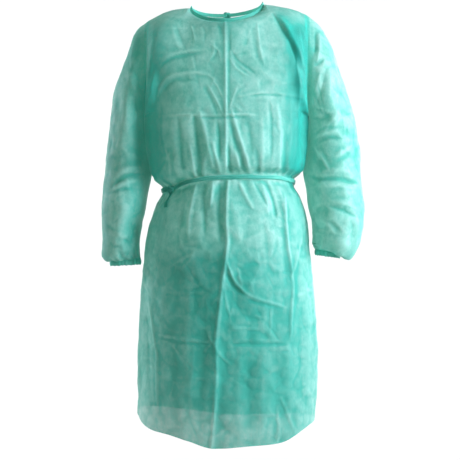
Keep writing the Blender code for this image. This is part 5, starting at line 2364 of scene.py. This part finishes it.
RIGHT_SLEEVE_FRONT = laid("""
    height width crisp fade lean | x z of each point
    -3.4 12 .5 .38 -.4 | -230 -158  -214 -196  -203 -232
    2.2 9 .5 .38 | -242 -166  -226 -206  -211 -240
    -3.1 18 .25 .38 | -222 -222  -222 -270  -224 -330
    2.6 13.5 .5 .38 | -240 -190  -244 -250  -242 -320
    -2 12 .3 .38 | -262 -210  -268 -280  -272 -350
    -2.1 10.5 .5 .38 | -214 -68  -216 -100  -222 -140
    2 9 .5 .38 | -226 -72  -232 -110  -236 -146
    -1.6 7.5 .5 .38 | -206 -60  -206 -90  -208 -120
    1.9 10.5 .5 .38 | -256 -350  -236 -372  -210 -384
    -4 8.2 .5 .38 | -284 -452  -254 -428  -226 -420  -202 -418
    2.6 9 .5 .38 | -284 -440  -256 -414  -228 -404  -206 -402
    2.9 9 .5 .38 | -288 -468  -256 -444  -228 -436  -206 -434
    -2 5.4 .5 .38 | -294 -470  -262 -456  -230 -454
    -1.9 7.5 .5 .38 | -300 -440  -296 -424  -288 -412
    3.1 18 .25 .38 | -256 -474  -252 -510  -250 -556
    -2.1 10.5 .3 .38 | -276 -480  -278 -520  -276 -560
    -4.3 9 .5 .38 | -224 -534  -228 -560  -234 -586
    -3.3 10.5 .5 .38 | -252 -576  -240 -584  -228 -586
    2.4 9 .5 .38 | -268 -560  -254 -572  -240 -574
    3.1 12 .35 .38 | -262 -604  -248 -604  -232 -602
    -2.2 7.5 .5 .38 | -284 -586  -272 -596  -262 -594
    -1.9 7.5 .5 .38 | -294 -540  -282 -552  -270 -556
""")

RIGHT_SLEEVE_BACK = laid("""
    height width crisp fade | x z of each point
    2.5 12 .5 .38 | -226 -90  -236 -170  -232 -250
    -3.1 13.5 .3 .38 | -210 -130  -212 -210  -214 -290
    -2.2 12 .3 .38 | -254 -150  -262 -230  -266 -310
    2.1 9 .5 .38 | -290 -380  -262 -366  -220 -350
    -2.6 9 .5 .38 | -296 -400  -264 -392  -216 -376
    2.6 9 .5 .38 | -296 -424  -262 -416  -214 -404
    -2.9 9 .5 .38 | -298 -446  -262 -438  -216 -436
    2.4 10.5 .5 .38 | -280 -470  -252 -462  -222 -462
    2.9 16.5 .3 .38 | -262 -480  -260 -530  -258 -590
    -2.9 12 .35 .38 | -236 -500  -238 -550  -242 -600
    -2.1 9 .5 .38 | -290 -520  -280 -560  -276 -600
""")

LEFT_SLEEVE_FRONT = laid("""
    height width crisp fade | x z of each point
    -3.1 7.5 .5 .38 | 217 -66  215 -100  211 -132
    2.6 9 .5 .38 | 227 -74  226 -110  218 -150
    -1.9 5.4 .5 .38 | 206 -52  207 -84  208 -112
    -2.4 7.5 .5 .38 | 236 -138  222 -150  210 -158
    2.5 7.5 .5 .38 | 214 -128  206 -170  205 -220
    -3.7 12 .35 .38 | 243 -164  230 -212  217 -252
    3.2 13.5 .5 .38 | 252 -146  252 -196  248 -244
    2.7 9 .5 .38 | 226 -176  216 -214  210 -254
    -2.1 13.5 .3 .38 | 276 -180  282 -240  280 -300
    -4 12 .3 .38 | 212 -294  228 -288  252 -272
    2.5 12 .5 .38 | 252 -292  262 -282  272 -262
    2.1 7.5 .5 .38 | 214 -334  242 -318  270 -316
    -2.2 7.5 .5 .38 | 216 -322  244 -306  272 -304
    -1.9 7.5 .5 .38 | 222 -346  250 -330  282 -332
    2.6 5.4 .6 .38 | 212 -346  230 -376  252 -416
    -2.5 13.5 .3 .38 | 208 -360  220 -392  232 -416
    -2 9 .5 .38 | 262 -392  280 -380  306 -362
    2.1 9 .5 .38 | 262 -376  286 -364  308 -346
    -4.3 8.2 .5 .15 | 203 -420  229 -432  262 -430  292 -434  318 -440
    2.9 10.5 .5 .38 | 236 -412  266 -408  300 -414
    2.9 10.5 .5 .38 | 236 -450  266 -448  306 -454
    -2.9 12 .35 .38 | 204 -436  216 -456  226 -474
    3.1 19.5 .2 .38 | 288 -452  288 -474  286 -500
    -5 15 .25 .38 | 216 -500  230 -508  248 -506
    -2.7 7.5 .5 .38 | 244 -496  276 -506  318 -524
    2.6 9 .5 .38 | 252 -484  282 -492  318 -506
    -3.1 12 .35 .38 | 214 -534  222 -560  226 -588
    2.2 9 .5 .38 | 228 -530  246 -544  262 -566
    -2.5 10.5 .5 .38 | 246 -534  262 -548  276 -562
    3.3 15 .3 .38 | 252 -588  272 -590  296 -580
    -2.1 9 .5 .38 | 300 -530  306 -556  300 -584
    2.2 9 .5 .38 | 316 -520  320 -548  314 -572
""")

LEFT_SLEEVE_BACK = laid("""
    height width crisp fade | x z of each point
    2.6 12 .5 .38 | 224 -90  240 -170  242 -250
    -3.3 13.5 .3 .38 | 208 -130  214 -210  220 -290
    -2.4 13.5 .3 .38 | 262 -150  278 -230  288 -310
    2.2 9 .5 .38 | 222 -352  262 -360  308 -372
    -2.9 9 .5 .38 | 214 -380  262 -386  318 -398
    2.7 9 .5 .38 | 212 -404  262 -412  322 -424
    -3.1 9 .5 .38 | 212 -434  264 -440  324 -450
    2.5 10.5 .5 .38 | 226 -462  266 -466  316 -478
    -2.7 10.5 .5 .38 | 230 -494  268 -502  318 -516
    3 16.5 .3 .38 | 272 -500  274 -550  268 -600
    -3 12 .35 .38 | 244 -510  246 -560  250 -600
    -2.2 9 .5 .38 | 310 -530  304 -566  294 -600
""")


@dataclass
class Gown:
    """The whole gown: three body panels, two sleeves with cuffs, the neck's binding and the belt."""

    wardrobe: Wardrobe

    @staticmethod
    def facets(seed: int) -> tuple[Facets, ...]:
        """Valleys between broad facets, ridges between smaller ones and fine valleys over both."""
        return (Facets(seed, 0.058, 0.060, False), Facets(seed + 100, 0.034, 0.070, True),
                Facets(seed + 200, 0.017, 0.060, False))

    def front(self) -> Panel:
        """The front panel.

        Returns:
            The panel.
        """
        return Panel(
            "front_panel", Side.FRONT, Fineness(104, 250, 228), flat=(0.70, 1.06), area=0.66,
            creases=FRONT_FOLDS, crumple=Crumple(11),
            over_belt=Gathers(12, pitch=0.017, height=0.0019, reach=(0.015, 0.055)),
            under_belt=Gathers(13, pitch=0.019, height=0.0022, reach=(0.025, 0.090)),
            facets=self.facets(14), flutes=SIDE_FLUTES, shade_bands=SIDE_SHADE_BANDS)

    def back(self, hand: Hand) -> BackPanel:
        """One back panel.

        Args:
            hand: Which half.

        Returns:
            The panel.
        """
        shift = hand.value
        return BackPanel(
            f"back_panel_{hand.name.lower()}", Side.BACK, Fineness(96, 240, 136), flat=(0.44, 1.04),
            area=0.42, creases=BACK_FOLDS, crumple=Crumple(21 + shift),
            over_belt=Gathers(32 + shift, pitch=0.016, height=0.0022, reach=(0.02, 0.07)),
            under_belt=Gathers(42 + shift, pitch=0.018, height=0.0026, reach=(0.03, 0.10)),
            facets=self.facets(24 + 2 * shift), flutes=SIDE_FLUTES, shade_bands=SIDE_SHADE_BANDS, hand=hand)

    def sleeve(self, hand: Hand) -> Sleeve:
        """One sleeve.

        Args:
            hand: Which sleeve.

        Returns:
            The sleeve.
        """
        shift = hand.value
        gathers = Gathers(61 + shift, pitch=0.0105, height=0.0021, reach=(0.012, 0.050), slant=0.12)
        wrinkles = Crumple(51 + shift), self.facets(54 + 2 * shift), gathers
        # After the creases come painted shade shares: beside the armhole, toward the inner edge and toward
        # the outer edge, stronger toward the edges on the right sleeve.
        if hand is Hand.LEFT:
            return Sleeve(hand, (0.44, 0.68), 0.255, LEFT_SLEEVE_FRONT, LEFT_SLEEVE_BACK,
                          (0.75, 0.204, 0.224), (0.15, 0.30, 0.85), 0.60, *wrinkles)
        return Sleeve(hand, (0.42, 0.67), 0.24, RIGHT_SLEEVE_FRONT, RIGHT_SLEEVE_BACK,
                      (0.75, 0.216, 0.256), (0.95, -0.15, 0.60), 0.90, *wrinkles)

    def build(self) -> None:
        """Build and report every piece."""
        parts = [self.front(), *map(self.back, Hand), *map(self.sleeve, Hand), *map(Cuff, Hand)]
        pieces = [part.build(self.wardrobe) for part in parts]
        for group in (Binding(), Belt()):
            pieces += group.build(self.wardrobe)
        for piece in pieces:
            LOG.info("%s: %d faces", piece.name, len(piece.data.polygons))


def main() -> None:
    """Build the gown, which logs each piece's faces, then the studio."""
    logging.basicConfig(level=logging.INFO, format="%(name)s: %(message)s")
    Gown(Wardrobe()).build()
    Studio().build()


if __name__ == "__main__":
    main()
